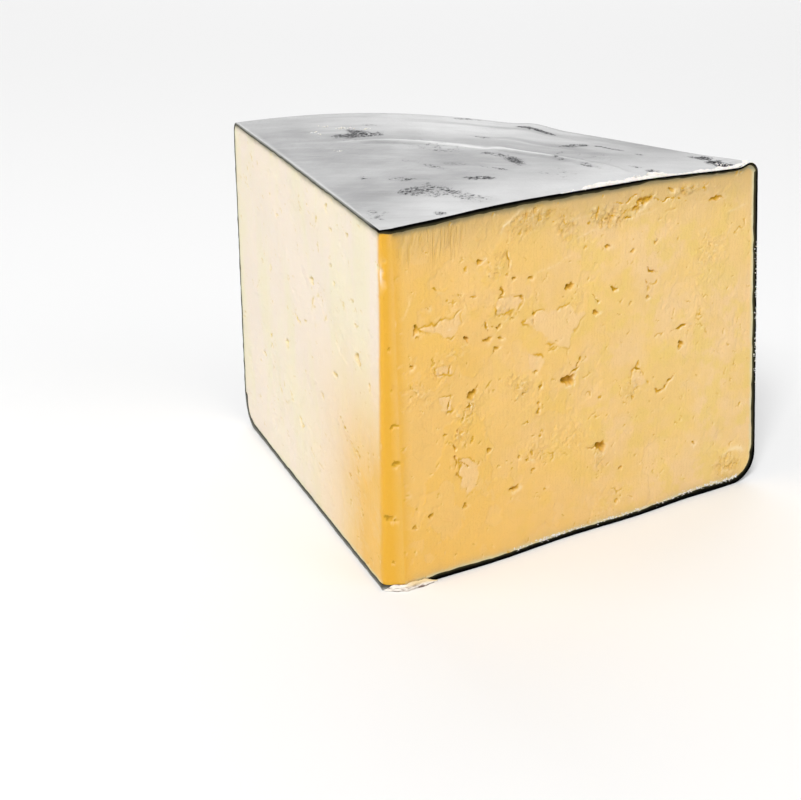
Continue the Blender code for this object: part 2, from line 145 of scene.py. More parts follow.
TIP_HOLES = (
    (6.6, 70, 2.2, 1.1, 8), (6.8, 54.5, 2.2, 1.3, 14), (3, 31.5, 1.9, 1.3, 5), (4.5, 100, 0.9, 0.7, 0),
    (5.6, 30.5, 0.8, 0.6, -30), (4, 12, 0.8, 0.6, 0), (5.5, 84, 0.9, 0.5, 40),
)

# The shaved tip is this wide, and has a nick this high up, this large and this deep, in mm
TIP_WIDTH = 9.0
NICK_PLACE = 129
NICK_SIZE = 5
NICK_DEPTH = 1.5

# Cracks, in mm: width and depth, then points from the tip and up
RIGHT_CRACKS = (
    (0.3, 0.55, (54, 134), (54.3, 127), (54, 121)),
    (0.5, 0.8, (52, 116), (52, 112), (51, 111), (49, 110), (49, 105)),
    (0.45, 0.7, (71, 65), (70.5, 61), (71, 57)),
    (0.4, 0.6, (66, 50), (71, 51), (73, 49)),
    (0.6, 0.9, (32, 62), (31, 58), (32, 54), (32, 47), (33, 42)),
    (0.55, 0.8, (34, 49), (38, 46), (41, 45), (44, 48)),
    (0.45, 0.6, (135, 79), (138, 81), (144, 82), (151, 81)),
    (0.6, 0.8, (129, 57), (132, 55.5), (135, 56), (137.5, 59), (140, 61)),
    (0.4, 0.6, (116, 67), (117.5, 68), (119, 68), (124, 65)),
    (0.4, 0.6, (116, 65), (117.5, 68)),
    (0.45, 0.7, (123, 111), (123.6, 109), (128, 108)),
    (0.35, 0.5, (122, 106), (123, 101)),
    (0.4, 0.6, (103, 107), (106, 105), (111, 105.5)),
    (0.35, 0.5, (96, 105), (98, 102), (100, 101)),
    (0.45, 0.65, (33, 116), (37, 115), (40, 114)),
    (0.4, 0.6, (67, 104), (67.4, 101), (67, 97)),
    (0.4, 0.6, (44, 103), (45.5, 101.5), (47, 99)),
    (0.45, 0.6, (39, 75), (41, 77.5), (42, 80)),
    (0.4, 0.6, (71, 74), (70.6, 71), (70, 68)),
    (0.3, 0.45, (62, 58), (65, 58.5), (68, 56)),
    (0.35, 0.5, (94, 79), (91, 78), (88, 75), (85, 72)),
    (0.4, 0.6, (96, 39), (100, 38.6), (103, 38)),
    (0.4, 0.6, (22, 87), (24, 85.5), (28, 86.5), (29, 89)),
    (0.35, 0.5, (30, 77), (29, 72), (27, 69)),
    (0.3, 0.45, (36, 78), (38, 72), (35, 66), (33, 62)),
    (0.4, 0.6, (111, 135), (115, 137), (119, 138), (124, 140)),
    (0.3, 0.45, (107, 132.5), (112, 133.5), (117, 135)),
    (0.22, 0.4, (124, 138), (135, 137), (147, 134.5)),
    (0.3, 0.45, (104, 139), (110, 139.5), (119, 142)),
)
LEFT_CRACKS = (
    (0.5, 0.6, (49, 57), (38, 53), (28, 47)),
    (0.5, 0.6, (84, 84), (92, 80), (104, 82)),
    (0.5, 0.6, (133, 62), (136, 52), (133, 44)),
)

# Plates of paste that the knife tilted, in mm: depth at the top and at the foot, then corners from the tip and up
RIGHT_PLATES = (
    (0.3, -0.35, (15, 106), (22, 107), (31, 108), (36, 111), (33, 104), (29, 100), (22, 103), (16, 104)),
    (0.05, -0.45, (61, 99), (66, 96), (71, 93), (76, 88), (80, 85), (84, 85), (87, 92), (92, 97), (84, 102),
     (70, 103)),
    (0.25, 0.1, (52, 112), (58, 113), (61, 108), (58, 104), (50, 105), (50, 109)),
    (0.3, -0.15, (64, 86), (72, 84), (72, 77), (65, 80)),
    (0.35, 0.05, (33, 49), (40, 48), (43, 44), (41, 36), (38, 32), (34, 38)),
    (0.35, -0.1, (22, 89), (28, 90), (30, 87), (24, 84)),
    (0.3, -0.2, (24, 78), (30, 77), (30, 71), (25, 70)),
    (0.15, -0.25, (118, 67), (124, 65), (125, 60), (118, 60)),
)
LEFT_PLATES = (
    (0.2, -0.1, (61, 92), (66, 99), (76, 97), (79, 89), (70, 85)),
    (0.2, -0.1, (106, 40), (112, 50), (124, 49), (127, 41), (117, 35)),
)

# Crumbly patches, in mm: middle from the tip and up, half length, half width, tilt in degrees, and depth
RIGHT_ROUGH = (
    (49, 125, 6, 5, 60, 0.34), (68, 140, 11, 4, 0, 0.5), (80, 134, 7, 4, -20, 0.45),
    (141, 139.5, 12, 2.2, 0, 0.46), (117.5, 137.4, 8, 1.9, 16, 0.8), (105, 133.5, 8, 3.4, 14, 0.46),
    (60, 138, 5, 5, 60, 0.24), (96, 139, 6, 2, 0, 0.3), (154, 111, 12, 7, 60, 0.26), (62, 74, 5, 7, 70, 0.32),
    (50, 107, 3, 6, 90, 0.32), (36, 66, 9, 4, 70, 0.3), (15, 80, 8, 7, 0, 0.24), (175, 11, 5, 8, 70, 0.44),
    (70, 44, 5, 8, 60, 0.18), (118, 60, 5, 4, 0, 0.34), (97, 136, 9, 3, -8, 0.38), (87, 103, 5, 3, 40, 0.24),
    (86, 45, 8, 6, 0, 0.18), (103, 33, 4, 5, 0, 0.34), (30, 108, 12, 5, 20, 0.14), (29, 94, 10, 5, 30, 0.18),
    (34, 60, 6, 3, 80, 0.3), (110, 12, 12, 8, 0, 0.14),
)
LEFT_ROUGH = (
    (38, 52, 12, 3, 30, 0.2), (28, 38, 4, 12, 0, 0.2), (25, 20, 3, 8, 0, 0.16), (80, 130, 30, 6, 0, 0.1),
)

# Scrapes that stand up as thin lines, pale in tone and with a painted highlight, in mm: height, width, then points
# from the tip and up
RIGHT_SCRAPES = (
    (0.3, 0.55, (61, 144), (58, 142), (53, 139), (52, 136)),
    (0.14, 0.4, (82, 127), (92, 130), (108, 132), (127, 134)),
    (0.12, 0.35, (67, 118), (75, 119.5), (85, 122)),
    (0.12, 0.35, (80, 136), (89, 137), (101, 136.6)),
    (0.16, 0.5, (163, 127), (169, 128), (175, 129.5)),
    (0.12, 0.45, (160, 115), (164, 116.5), (167, 122)),
    (0.3, 0.85, (114, 134.6), (119, 135.6), (124, 137)),
    (0.1, 0.45, (129, 47), (136, 46.5)),
    (0.42, 1, (172, 16), (175.5, 18), (180, 18.3), (185.5, 15.5)),
    (0.25, 0.5, (52, 102), (54, 101), (56, 103)),
    (0.16, 0.45, (9, 111), (11, 115), (12, 119)),
    (0.12, 0.4, (134, 92), (134.6, 88)),
)
LEFT_SCRAPES = (
    (0.1, 0.6, (57, 142), (57, 134)),
    (0.08, 0.6, (49, 98), (49.5, 90), (49, 84)),
)

# Small pits on each cut, by a seeded draw: how many, their size in mm, and what share of them is in the patches
SMALL_PITS = (80, 26)
SMALL_PIT_RADIUS = (0.2, 0.5)
PITS_IN_PATCHES = 0.55
PIT_SEED = 41

# How far right the lit side of a hole lies, and how deep the knife's fine marks go, in mm
LIT_SIDE = 0.8
DRAG_DEPTH = 0.2
STREAK_DEPTH = (0.085, 0.035)

# Layers that the knife lifted anywhere: their size, how rare they are, and their depth in mm
LOOSE_LAYERS = ((19.0, 0.4, 0.2), (9.0, 0.62, 0.16), (5.0, 0.95, -0.14))

# Scuffs on the waxed top: distance from the tip in mm, degrees from +X, half length, half width, tilt and strength
TOP_SCUFFS = (
    (134, 96.5, 9, 3.5, 0, 1), (140, 95, 5.5, 5.5, 0, 1), (135, 91.3, 4, 4, 0, 0.85),
    (152, 92.5, 4, 1.6, 10, 0.75), (172, 78.5, 8, 2, 0, 0.9), (164, 66.5, 11, 1.8, 10, 1.05),
    (139, 72.5, 8, 2, 18, 0.75), (132, 36.5, 3.5, 2.5, 0, 0.95), (146.5, 57.4, 7, 2.2, -55, 0.9),
    (154, 51.5, 6, 1.8, 0, 0.8), (152.5, 46.2, 2.5, 1.5, 0, 1), (130.5, 56.3, 1.2, 4, 0, 1),
    (114.5, 77, 14, 6, 0, 0.55), (111.8, 66, 7, 3, 0, 0.75), (106.5, 60, 8, 3.5, 36, 1),
    (120, 53.5, 5, 1.8, 22, 0.9), (118.3, 45.3, 6, 1.8, 0, 0.8), (132, 40.4, 3.5, 1.8, 0, 0.9),
    (86, 77.5, 12, 2, 31, 0.6), (91.5, 70, 7, 1.8, 0, 0.7), (92, 61.5, 9, 1.8, 0, 0.7), (65, 82, 6, 5, 0, 0.85),
    (75, 61, 6.5, 2.2, -35, 0.85), (77.5, 58, 2.5, 2, 0, 1), (52, 69, 12, 12, 0, 0.72), (50, 76, 6, 8, 0, 0.9),
    (50, 51, 6, 5, 0, 0.72), (50, 45, 9, 5, 0, 0.45), (20, 97, 6, 7, 0, 0.55), (28, 41, 2.4, 1.6, 0, 0.85),
    (65, 96.5, 4, 5, 0, 0.55), (65, 96.5, 1.4, 1.8, 0, 1), (167, 38.3, 6, 4.5, 0, 1.2), (166, 36, 6, 5.5, 0, 1.6),
    (165.5, 33.8, 5, 6, 0, 1.7), (100, 46, 9, 9, 0, 0.42), (135, 50, 10, 6, 0, 0.4), (160, 74, 14, 4, 0, 0.35),
    (135, 106, 12, 14, 0, 0.3),
)

# Folds of the top: height and half width in mm, strength of the painted highlight on the crest (painted shade beside
# it when below 0), then places as mm and degrees
TOP_FOLDS = (
    (0.25, 1.8, 1, (124, 97), (121.5, 87), (119.5, 79), (118, 70), (120.5, 62), (122.5, 54), (124, 48), (122.5, 39)),
    (0.1, 1.5, 0.9, (124, 98), (123.5, 93), (122, 88), (120, 82)),
    (0.12, 1.8, 0.9, (122, 60), (123.5, 52), (124, 46), (122, 40), (119, 36)),
    (-0.15, 2.4, -0.6, (130, 97), (127, 88), (124, 78), (122.5, 70), (124.5, 62), (126.5, 54), (128, 48),
     (126.5, 40)),
    (-0.1, 0.9, -1, (126.5, 99), (126, 96), (125, 92)),
    (0.12, 2.5, 0.35, (141, 104), (139, 96), (136, 90)),
    (0.22, 1.6, 0.65, (152, 88), (146, 76), (144, 66), (146, 58)),
    (0.16, 1.2, 0.5, (143, 84), (138, 74), (137, 64), (138, 55)),
    (0.16, 1.3, 0.6, (166, 86), (163, 74), (164, 62)),
    (0.12, 1, 0.5, (160, 80), (157, 68), (158, 58)),
    (0.1, 2, -0.25, (112, 100), (108, 90), (108, 78)),
    (0.15, 1.2, 0.5, (120, 38), (126, 35), (133, 34)),
    (0.25, 1, 0.8, (164, 40), (166, 36), (168, 33)),
    (0.1, 1.2, 0.3, (98, 50), (104, 44), (112, 39)),
)

# How pale the top is along the right cut, how strong the painted reflection at its back is, and how white the painted
# highlight on the crests of its folds is
TOP_PALE_FRONT = 0.76
TOP_SHEEN_BACK = 1.0
CREASE_HIGHLIGHT = 1.3

# The smeared rim along the right cut: mm along the edge, width and height in mm
BURR = (
    (78, 0.6, 0.15), (87.5, 0.7, 0.18), (91, 2.8, 0.55), (100, 3.2, 0.58), (112, 3.3, 0.58), (122, 3.3, 0.62),
    (127, 4.8, 1), (131, 3.8, 0.65), (135, 1.7, 0.28), (143, 1.5, 0.25), (147, 3, 0.45), (158, 3.2, 0.5),
    (168, 3.6, 0.5), (173, 3, 0.32), (178, 1.9, 0.16), (184, 0.9, 0.12), (196, 0.3, 0.08),
)
BURR_STEP = 0.35
BURR_POINTS = 7
BURR_PROUD = 0.0001

# Crumbs: mm along the top of the right cut, count and spread, then the same without spread along its base and side
CRUMB_RUNS = ((84, 112, 40, 0.6), (110, 134, 130, 1.6), (128, 150, 50, 0.9), (146, 177, 90, 1.2))
BASE_CRUMB_RUNS = ((60, 72, 20), (73, 84, 80), (84, 150, 140), (150, 182, 190))
SIDE_CRUMBS = (46, 112, 110)
CRUMB_SIZE = (0.14, 0.42)
LUMP_FLATNESS = 0.7

# Curls of torn wax on the folds of the top: distance from the tip in mm, degrees from +X, and count
TOP_CURLS = ((147, 97, 14), (144, 93, 8), (141, 102, 10), (152, 100, 5), (120, 34, 10), (109, 99, 5), (166, 34, 16))

# The torn film, in mm: its span either side of the tip's right edge, and how far its flap is along, wide and taller
FILM_SPAN = (-8.5, 14.5)
FILM_STEPS = 46
FILM_FLAP = (3.0, 5.0, 0.2)

# Up the film: height and distance from the wedge in mm, and how golden its flap is there
FILM_PROFILE = ((0.04, 1.3, 0.0), (0.75, 0.8, 0.0), (1.5, 0.55, 0.75), (2.5, 0.42, 1.0))
FILM_THICK = 0.0002
FILM_OUT = np.array([0.25, -0.97, 0.0])

# How finely the paste and the wax are divided, how far the paste's caps close and drop, and what each may keep
CUT_COLUMNS = (420, 170)
ARC_COLUMNS = 40
SHAVE_COLUMNS = 20
HEIGHT_ROWS = 340
CAP_RINGS = 10
CAP_CLOSES = 0.985
CAP_DROP = 0.0015
WAX_COLUMNS = 190
WAX_INNER_COLUMNS = 24
WAX_STATIONS = (("top", 150), ("top round", 6), ("side", 66), ("base round", 10), ("base", 110))
MOST_TRIANGLES = 192_000
SHARP_DEGREES = 62
PLAN_STEPS = 400

# The fields that the meshes carry for their materials
PASTE_FIELDS = ("pit_tone_and_shade", "fresh", "crumble", "pale_and_highlight", "drag", "rind_and_shade", "rind_side", "dull", "warm", "dry", "tip")
WAX_FIELDS = ("bloom", "dark", "pale_and_highlight", "cut_edge", "cut_depth", "cut_left")

# Colours of the paste
GOLD = (0.82, 0.55, 0.185)
# GOLD_WARM: warmer gold; on the left cut, low down near the tip, it is painted shade and yellow bounce light from a
# slice that leaned there
GOLD_WARM = (0.82, 0.478, 0.09)
GOLD_SUN = (0.79, 0.555, 0.15)
GOLD_PINK = (0.83, 0.57, 0.29)
# GOLD_DULL_AND_SHADE: a dull tone in the paste's random mottle, and the colour of the painted shade under the top wax
# and of the darker band along the base
GOLD_DULL_AND_SHADE = (0.6, 0.4, 0.15)
# TIP_GLOW_YELLOW: a painted glow of light shining through the thin shaved tip
TIP_GLOW_YELLOW = (0.73, 0.385, 0.024)
# CREAM and CREAM_YELLOW: the left cut's pale cream, partly its own drier tone and partly painted light from the strong
# lamp on that side
CREAM = (0.845, 0.733, 0.6)
CREAM_YELLOW = (0.825, 0.748, 0.53)
# The hole colours: HOLE_GOLD is partly the paste's own deeper gold, and the darker ones are painted shade in holes,
# cracks, seams and tears, darkest on the holes' upper left, away from the light
HOLE_GOLD = (0.64, 0.36, 0.04)
HOLE_SHADE_BROWN = (0.32, 0.175, 0.008)
HOLE_PALE = (0.74, 0.6, 0.3)
HOLE_SHADE_OLIVE = (0.58, 0.4, 0.04)
# SCRAPE_AND_HIGHLIGHT_PALE: pale of scrapes and flecks, and painted highlights on the lit lips of marks, holes and
# wrinkles
SCRAPE_AND_HIGHLIGHT_PALE = (0.95, 0.79, 0.5)
# RIND_AND_SHADE_OLIVE: the olive band under the top wax, partly the paste's own rind and partly painted shade cast by
# the wax's edge
RIND_AND_SHADE_OLIVE = (0.17, 0.15, 0.07)
RIND_PALE = (0.64, 0.63, 0.42)

# Colours of the wax, the crumbs, the film and the floor
WAX_BLACK = (0.01, 0.01, 0.011)
WAX_CUT = (0.0006, 0.0006, 0.0005)
# WAX_CUT_OLIVE: the wax's cut edge next to the paste, leading into the paste's band that is partly painted shade
WAX_CUT_OLIVE = (0.07, 0.062, 0.03)
WAX_CUT_GREY = (0.3, 0.3, 0.28)
WAX_CUT_DIM = (0.09, 0.09, 0.072)
WAX_GREY = (0.185, 0.185, 0.188)
WAX_DARK = (0.03, 0.03, 0.034)
# WAX_PALE: the bloom's paler cloudy tone, and the painted reflection on the top
WAX_PALE = (0.59, 0.59, 0.59)
# WAX_HIGHLIGHT_WHITE: painted highlight on the crests of the top's folds
WAX_HIGHLIGHT_WHITE = (0.85, 0.85, 0.84)
WAX_WORN = (0.16, 0.16, 0.155)
CRUMB_PINK = (0.82, 0.755, 0.69)
CRUMB_CREAM = (0.86, 0.83, 0.78)
# CRUMB_GREY: painted shade among the crumbs, in small spots
CRUMB_GREY = (0.34, 0.33, 0.3)
FILM_PALE = (0.86, 0.8, 0.72)
FILM_BROWN = (0.22, 0.15, 0.12)
FILM_FLAP_GOLD = (0.84, 0.64, 0.33)
FLOOR_WHITE = (0.88, 0.88, 0.88)

# The floor and the lights: name, place from the wheel's tip, size in metres and power in watts
FLOOR_SIZE = 9.0
WORLD_STRENGTH = 0.32
LIGHT_TARGET = (0.0, 0.0, 0.07)
LIGHTS = (
    ("key", (-0.4, -1.8, 2.2), (0.8, 0.8), 59.5),
    ("right_fill", (2.2, -1.3, 1.6), (1.6, 1.6), 13.0),
    ("back_sheen", (0.2, 3.4, 1.8), (4.4, 1.8), 66.0),
    ("left_wall", (-3.0, -0.4, 1.5), (1.8, 1.8), 24.0),
)

# The camera: focal length in pixels of the photograph, and its place from the wheel's tip, in metres
PHOTO_WIDTH = 801
FOCAL_PIXELS = 1500
CAMERA_PLACE = (0.007, -0.4999, 0.298)
CAMERA_PITCH = 23.4
SENSOR = 36.0


def lerp(low, high, share):
    return low + (high - low) * share


def smooth(share):
    share = np.clip(share, 0.0, 1.0)
    return share * share * (3 - 2 * share)


def hump(distance, width):
    return np.exp(-((distance / width) ** 2))


def tapered(share, margin, power):
    """1 in the middle of a line, falling away towards its ends."""
    return np.sin(pi * np.clip(share, margin, 1 - margin)) ** power


class Noise:
    """Smooth noise in the plane between -1 and 1, from a seeded table."""

    SIDE = 256

    def __init__(self, seed):
        self.table = np.random.default_rng(seed).uniform(-1, 1, (self.SIDE, self.SIDE))

    def at(self, x, y, size):
        x, y = np.broadcast_arrays(x / size, y / size)
        column, row = np.floor(x).astype(int), np.floor(y).astype(int)
        left, right = column % self.SIDE, (column + 1) % self.SIDE
        low, high = row % self.SIDE, (row + 1) % self.SIDE
        across = smooth(x - column)
        below = lerp(self.table[left, low], self.table[right, low], across)
        above = lerp(self.table[left, high], self.table[right, high], across)
        return lerp(below, above, smooth(y - row))

    def fractal(self, x, y, size, octaves=3):
        return sum(self.at(x + 7.3 * k, y - 4.1 * k, size / 2**k) / 2**k for k in range(octaves))


# The wheel's surfaces

def sunk(z):
    """0 at the top of the wheel, 1 at its base."""
    return 1 - z / WHEEL_HEIGHT


def polar(reach, turn, z):
    """The point at this distance from the leaning axis. turn is 0 on the right cut and 1 on the left cut."""
    reach, turn, z = np.broadcast_arrays(reach, turn, z)
    angle = np.radians(lerp(RIGHT_CUT, LEFT_CUT, turn) + CUT_TWIST * sunk(z))
    x = TIP_LEAN[0] * sunk(z) + reach * np.cos(angle)
    y = TIP_LEAN[1] * sunk(z) + reach * np.sin(angle)
    return np.stack([x, y, z], axis=-1).astype(float)


def side_radius(turn, z):
    waves = -SIDE_DROP * np.sin(pi * turn) - SIDE_WAVE * np.sin(2 * pi * turn)
    return WHEEL_RADIUS + waves + lerp(*SPREAD, smooth(turn)) * sunk(z)


def top_height(reach, turn):
    """The height of the top, with its bow, its sunken rim and the folds of the wax."""
    share = reach / WHEEL_RADIUS
    bow = TOP_BOW * lerp(1.0, 0.3, turn) * np.sin(pi * np.minimum(share, 1.0))
    rim = RIM_START + RIM_RISE * turn + RIM_WAVE * np.sin(2 * pi * turn)
    rim = rim + BUMP_HEIGHT * hump(turn - BUMP_PLACE, BUMP_WIDTH)
    ends = smooth((turn - CREASE_SPAN[0]) / 0.08) * smooth((CREASE_SPAN[1] - turn) / 0.08)
    crease = CREASE_HEIGHT * hump(reach - CREASE_RADIUS, CREASE_WIDTH) * ends
    bead = BEAD_HEIGHT * hump(reach - WHEEL_RADIUS + TOP_EDGE_RADIUS, BEAD_WIDTH) * hump(turn, BEAD_REACH)
    return WHEEL_HEIGHT + bow + rim * share**2 + crease + bead


def top_end(turn):
    """(reach, height) where the top starts to round over into the side."""
    reach = side_radius(turn, WHEEL_HEIGHT) - TOP_EDGE_RADIUS
    return reach, top_height(reach, turn)


def rim_reach(turn, z, inset=0.0):
    """The side's distance from the axis at this height, less an inset that keeps its rounded edges round."""
    high = top_end(turn)[1] - TOP_EDGE_RADIUS
    reach = side_radius(turn, z) - inset
    for radius, past in ((TOP_EDGE_RADIUS - inset, z - high), (BASE_EDGE_RADIUS - inset, BASE_EDGE_RADIUS - z)):
        reach = reach - (radius - np.sqrt(np.maximum(radius**2 - np.maximum(past, 0.0) ** 2, 0.0)))
    return reach


def wave(turn, reach, z):
    """A slow unevenness of the cuts, which fades out at the tip and at the rim."""
    fade = smooth((reach - SHAVE[0][1]) / WAVE_FADE) * smooth((WHEEL_RADIUS - WAVE_CLEAR - reach) / WAVE_FADE)
    along = np.sin(2 * pi * reach / WAVE_ALONG + turn)
    return WAVE_DEPTH * fade * along * np.cos(2 * pi * z / WAVE_UP + 1.3 * turn)


def into_cut(turn):
    """The direction into the paste from the right cut, 0, or the left cut, 1."""
    angle = radians(lerp(RIGHT_CUT, LEFT_CUT, turn))
    return np.array([-sin(angle), cos(angle), 0.0]) * (-1 if turn else 1)


def on_cut(turn, reach, z, depth=0.0):
    return polar(reach, turn, z) + into_cut(turn) * (depth + wave(turn, reach, z))[..., None]


def shave_reach(turn, z):
    """Where the shaved tip meets the cut."""
    return lerp(*SHAVE[turn], sunk(z))


def wax_top(turn, reach):
    right = lerp(*WAX_TOP_RIGHT, smooth((reach - WAX_THINS_AT[0]) / (WAX_THINS_AT[1] - WAX_THINS_AT[0])))
    return lerp(right, WAX_TOP_LEFT, smooth(turn))


def wax_side(turn):
    return lerp(*WAX_SIDE, smooth(turn))


def wax_base(reach):
    return lerp(*WAX_BASE, smooth((reach - WAX_THICKENS_AT[0]) / (WAX_THICKENS_AT[1] - WAX_THICKENS_AT[0])))


def top_place(x, y):
    """(reach, turn) of a place on the top, in plan."""
    turn = (np.degrees(np.arctan2(y, x)) - RIGHT_CUT) / (LEFT_CUT - RIGHT_CUT)
    return np.hypot(x, y), np.clip(turn, 0.0, 1.0)


def on_top(spot, lift):
    """Sets a spot this far above the waxed top."""
    spot[2] = top_height(*top_place(spot[0], spot[1])) + lift
    return spot


# The relief of the cut faces, in millimetres

def along_line(x, y, points):
    """How far each place is from a line of points, and where along the line the nearest point is, from 0 to 1."""
    lengths = [dist(start, end) for start, end in zip(points, points[1:])]
    nearest, share = np.full(x.shape, np.inf), np.zeros(x.shape)
    run = 0.0
    for (x0, y0), (x1, y1), length in zip(points, points[1:], lengths):
        part = np.clip(((x - x0) * (x1 - x0) + (y - y0) * (y1 - y0)) / length**2, 0, 1)
        away = np.hypot(x - lerp(x0, x1, part), y - lerp(y0, y1, part))
        share = np.where(away < nearest, (run + part * length) / sum(lengths), share)
        nearest = np.minimum(nearest, away)
        run += length
    return nearest, share


def in_polygon(x, y, corners):
    inside = np.zeros(x.shape, bool)
    for (x0, y0), (x1, y1) in zip(corners, corners[1:] + corners[:1]):
        if y0 != y1:
            inside ^= ((y0 > y) != (y1 > y)) & (x < (x1 - x0) * (y - y0) / (y1 - y0) + x0)
    return inside


def turned(dx, dy, tilt):
    """Distances along and across a feature that is tilted by this many degrees."""
    angle = radians(tilt)
    return dx * cos(angle) + dy * sin(angle), dy * cos(angle) - dx * sin(angle)


class CutLook(Noise):
    """The relief and the marks of one cut face. Places are in mm from the tip and up, and depths go into the paste."""

    def __init__(self, turn, holes, cracks, plates, rough, scrapes):
        super().__init__(PIT_SEED + turn)
        self.turn, self.rough = turn, rough
        self.cracks, self.plates, self.scrapes = cracks, plates, scrapes
        self.holes = list(holes) + self.draw_pits()

    def draw_pits(self):
        """Small holes, most of them near the crumbly patches and the rest anywhere."""
        draw = np.random.default_rng(PIT_SEED + 10 + self.turn)
        pits = []
        for _ in range(SMALL_PITS[self.turn]):
            if draw.uniform() < PITS_IN_PATCHES:
                x, y, a, b, tilt, deep = self.rough[draw.integers(len(self.rough))]
                place = (x + draw.normal(0, 0.6 * a), y + draw.normal(0, 0.8 * b))
            else:
                place = draw.uniform((8, 5), (WHEEL_RADIUS / MM - 5, WHEEL_HEIGHT / MM - 5))
            size = draw.uniform(*SMALL_PIT_RADIUS, 2) * (1.5, 0.8)
            pits.append((*place, *size, draw.uniform(0, 180)))
        return pits

    def warped(self, x, y, *warps):
        """Places moved by each (distance, size) of noise in turn, so that what is drawn on them has ragged edges."""
        for by, size in warps:
            x, y = x + by * self.at(x, y + 31, size), y + by * self.at(x - 57, y, size)
        return x, y

    def hole_marks(self, x, y):
        """Depth, painted shade and painted lit rim of the holes: steep uneven walls, with the painted shade darkest at
        their upper left, away from the light.
        """
        depth, pit_tone_and_shade, rim = np.zeros((3, *x.shape))
        x, y = self.warped(x, y, (0.5, 1.6), (0.25, 0.7))
        for place_x, place_y, a, b, tilt in self.holes:
            near = (np.abs(x - place_x) < 3 * a + 1) & (np.abs(y - place_y) < 3 * a + 1)
            dx, dy = x[near] - place_x, y[near] - place_y
            along, across = turned(dx, dy, tilt)
            angle = np.arctan2(across / b, along / a)
            size = 1 + 0.22 * np.sin(2 * angle + place_x) + 0.2 * np.sin(3 * angle + 2.3 * place_x)
            share = np.hypot(along / a, across / b) / (size + 0.14 * np.sin(5 * angle + place_y))
            toward = (dx * LIT_SIDE - dy) / (np.hypot(dx, dy) + 0.01) / hypot(LIT_SIDE, 1)
            depth[near] = np.maximum(depth[near], b * smooth((1.05 - share) / 0.55))
            # painted shade, darker on the upper left wall, away from the light, and in larger holes
            dark = smooth((1.05 - share) / 0.35) * min(1.0, 0.5 + 0.4 * b) * (0.75 - 0.35 * toward)
            pit_tone_and_shade[near] = np.maximum(pit_tone_and_shade[near], dark)
            # painted highlight on the lower right lip, which faces the light
            bright = min(0.9, 0.25 + 0.4 * b) * (0.7 + 0.3 * sin(5.1 * place_x + place_y))
            lip = hump((share - 1.3) * b, 0.32) * smooth(0.2 + 0.9 * toward) * bright
            rim[near] = np.maximum(rim[near], lip)
        return depth, pit_tone_and_shade, rim

    def crack_marks(self, x, y):
        """Thin cracks that break off and start again, with painted shade in them."""
        depth, pit_tone_and_shade = np.zeros((2, *x.shape))
        x, y = self.warped(x, y, (1.0, 2.4), (0.4, 0.9))
        wide = 0.6 + 1.1 * self.at(x, y, 1.7)
        for width, deep, *points in self.cracks:
            away, share = along_line(x, y, points)
            taper = tapered(share, 0.03, 0.5) * np.clip(wide, 0.05, 1.4)
            inside = np.clip(1 - away / (width * 1.45 * taper + 0.05), 0, 1) * (wide > 0.12)
            depth = np.maximum(depth, deep * smooth(inside * 1.3))
            pit_tone_and_shade = np.maximum(pit_tone_and_shade, smooth(inside * 1.6) * np.clip(taper, 0.3, 1))
        return depth, pit_tone_and_shade

    def tear_marks(self, x, y, crumble):
        """Short fine tears, thick in the crumbly patches and thin elsewhere."""
        x, y = self.warped(x, y, (0.6, 1.5))
        away = np.abs(self.fractal(x + 40, y * 0.8, 5.5))
        wanted = 0.48 - 0.55 * crumble - 0.1 * self.at(x, y, 30)
        return np.clip(1 - away / 0.085, 0, 1) * smooth((self.at(x + 13, y, 2.6) - wanted) / 0.25)

    def plate_marks(self, x, y):
        """Plates of paste with ragged edges and seams: the named ones, and thin ones wherever a layer lifted."""
        depth, fresh, seam = np.zeros((3, *x.shape))
        x, y = self.warped(x, y, (1.3, 3.4), (0.5, 1.1))
        for top, foot, *corners in self.plates:
            away = along_line(x, y, corners + corners[:1])[0]
            heights = [corner[1] for corner in corners]
            share = (y - min(heights)) / (max(heights) - min(heights))
            step = smooth(away / 0.5) * in_polygon(x, y, corners)
            seam = np.maximum(seam, hump(away, 0.45) * smooth(0.35 + 1.3 * self.at(x, y + 70, 3.6)))
            depth = depth + lerp(foot, top, np.clip(share, 0, 1)) * step
            fresh = np.maximum(fresh, step)
        for size, level, thick in LOOSE_LAYERS:
            layer = smooth((self.fractal(x + 3 * size, y * 0.8, size, 4) - level) / 0.05)
            depth = depth + thick * layer
            fresh = np.maximum(fresh, 0.28 * layer)
        return depth + 0.25 * seam, fresh, seam

    def rough_marks(self, x, y):
        """Crumbly patches, where the grain of the paste breaks open, deep gold in the deepest, partly its own tone and
        partly painted shade, and their crumbs.
        """
        depth, crumble, amber = np.zeros((3, *x.shape))
        grain = self.fractal(x, y, 1.9)
        torn = np.abs(self.fractal(x + 90, y * 0.8, 1.5))
        ragged = 0.45 * self.at(x, y, 4) + 0.3 * self.at(x, y, 1.4)
        for place_x, place_y, a, b, tilt, deep in self.rough:
            along, across = turned(x - place_x, y - place_y, tilt)
            mask = smooth(1.35 - np.hypot(along / a, across / b) + ragged)
            depth = depth + deep * mask * (1.2 * grain + 1.8 * (0.35 - torn))
            crumble = np.maximum(crumble, mask * min(1.0, deep / 0.35))
            amber = np.maximum(amber, mask * min(1.0, max(0.05, 2.2 * deep - 0.65)) * smooth(0.55 + 0.9 * grain))
        fleck = smooth((self.at(x + 200, y, 1.15) - 0.42) / 0.3) * crumble
        return depth - 0.3 * fleck, crumble, fleck, amber

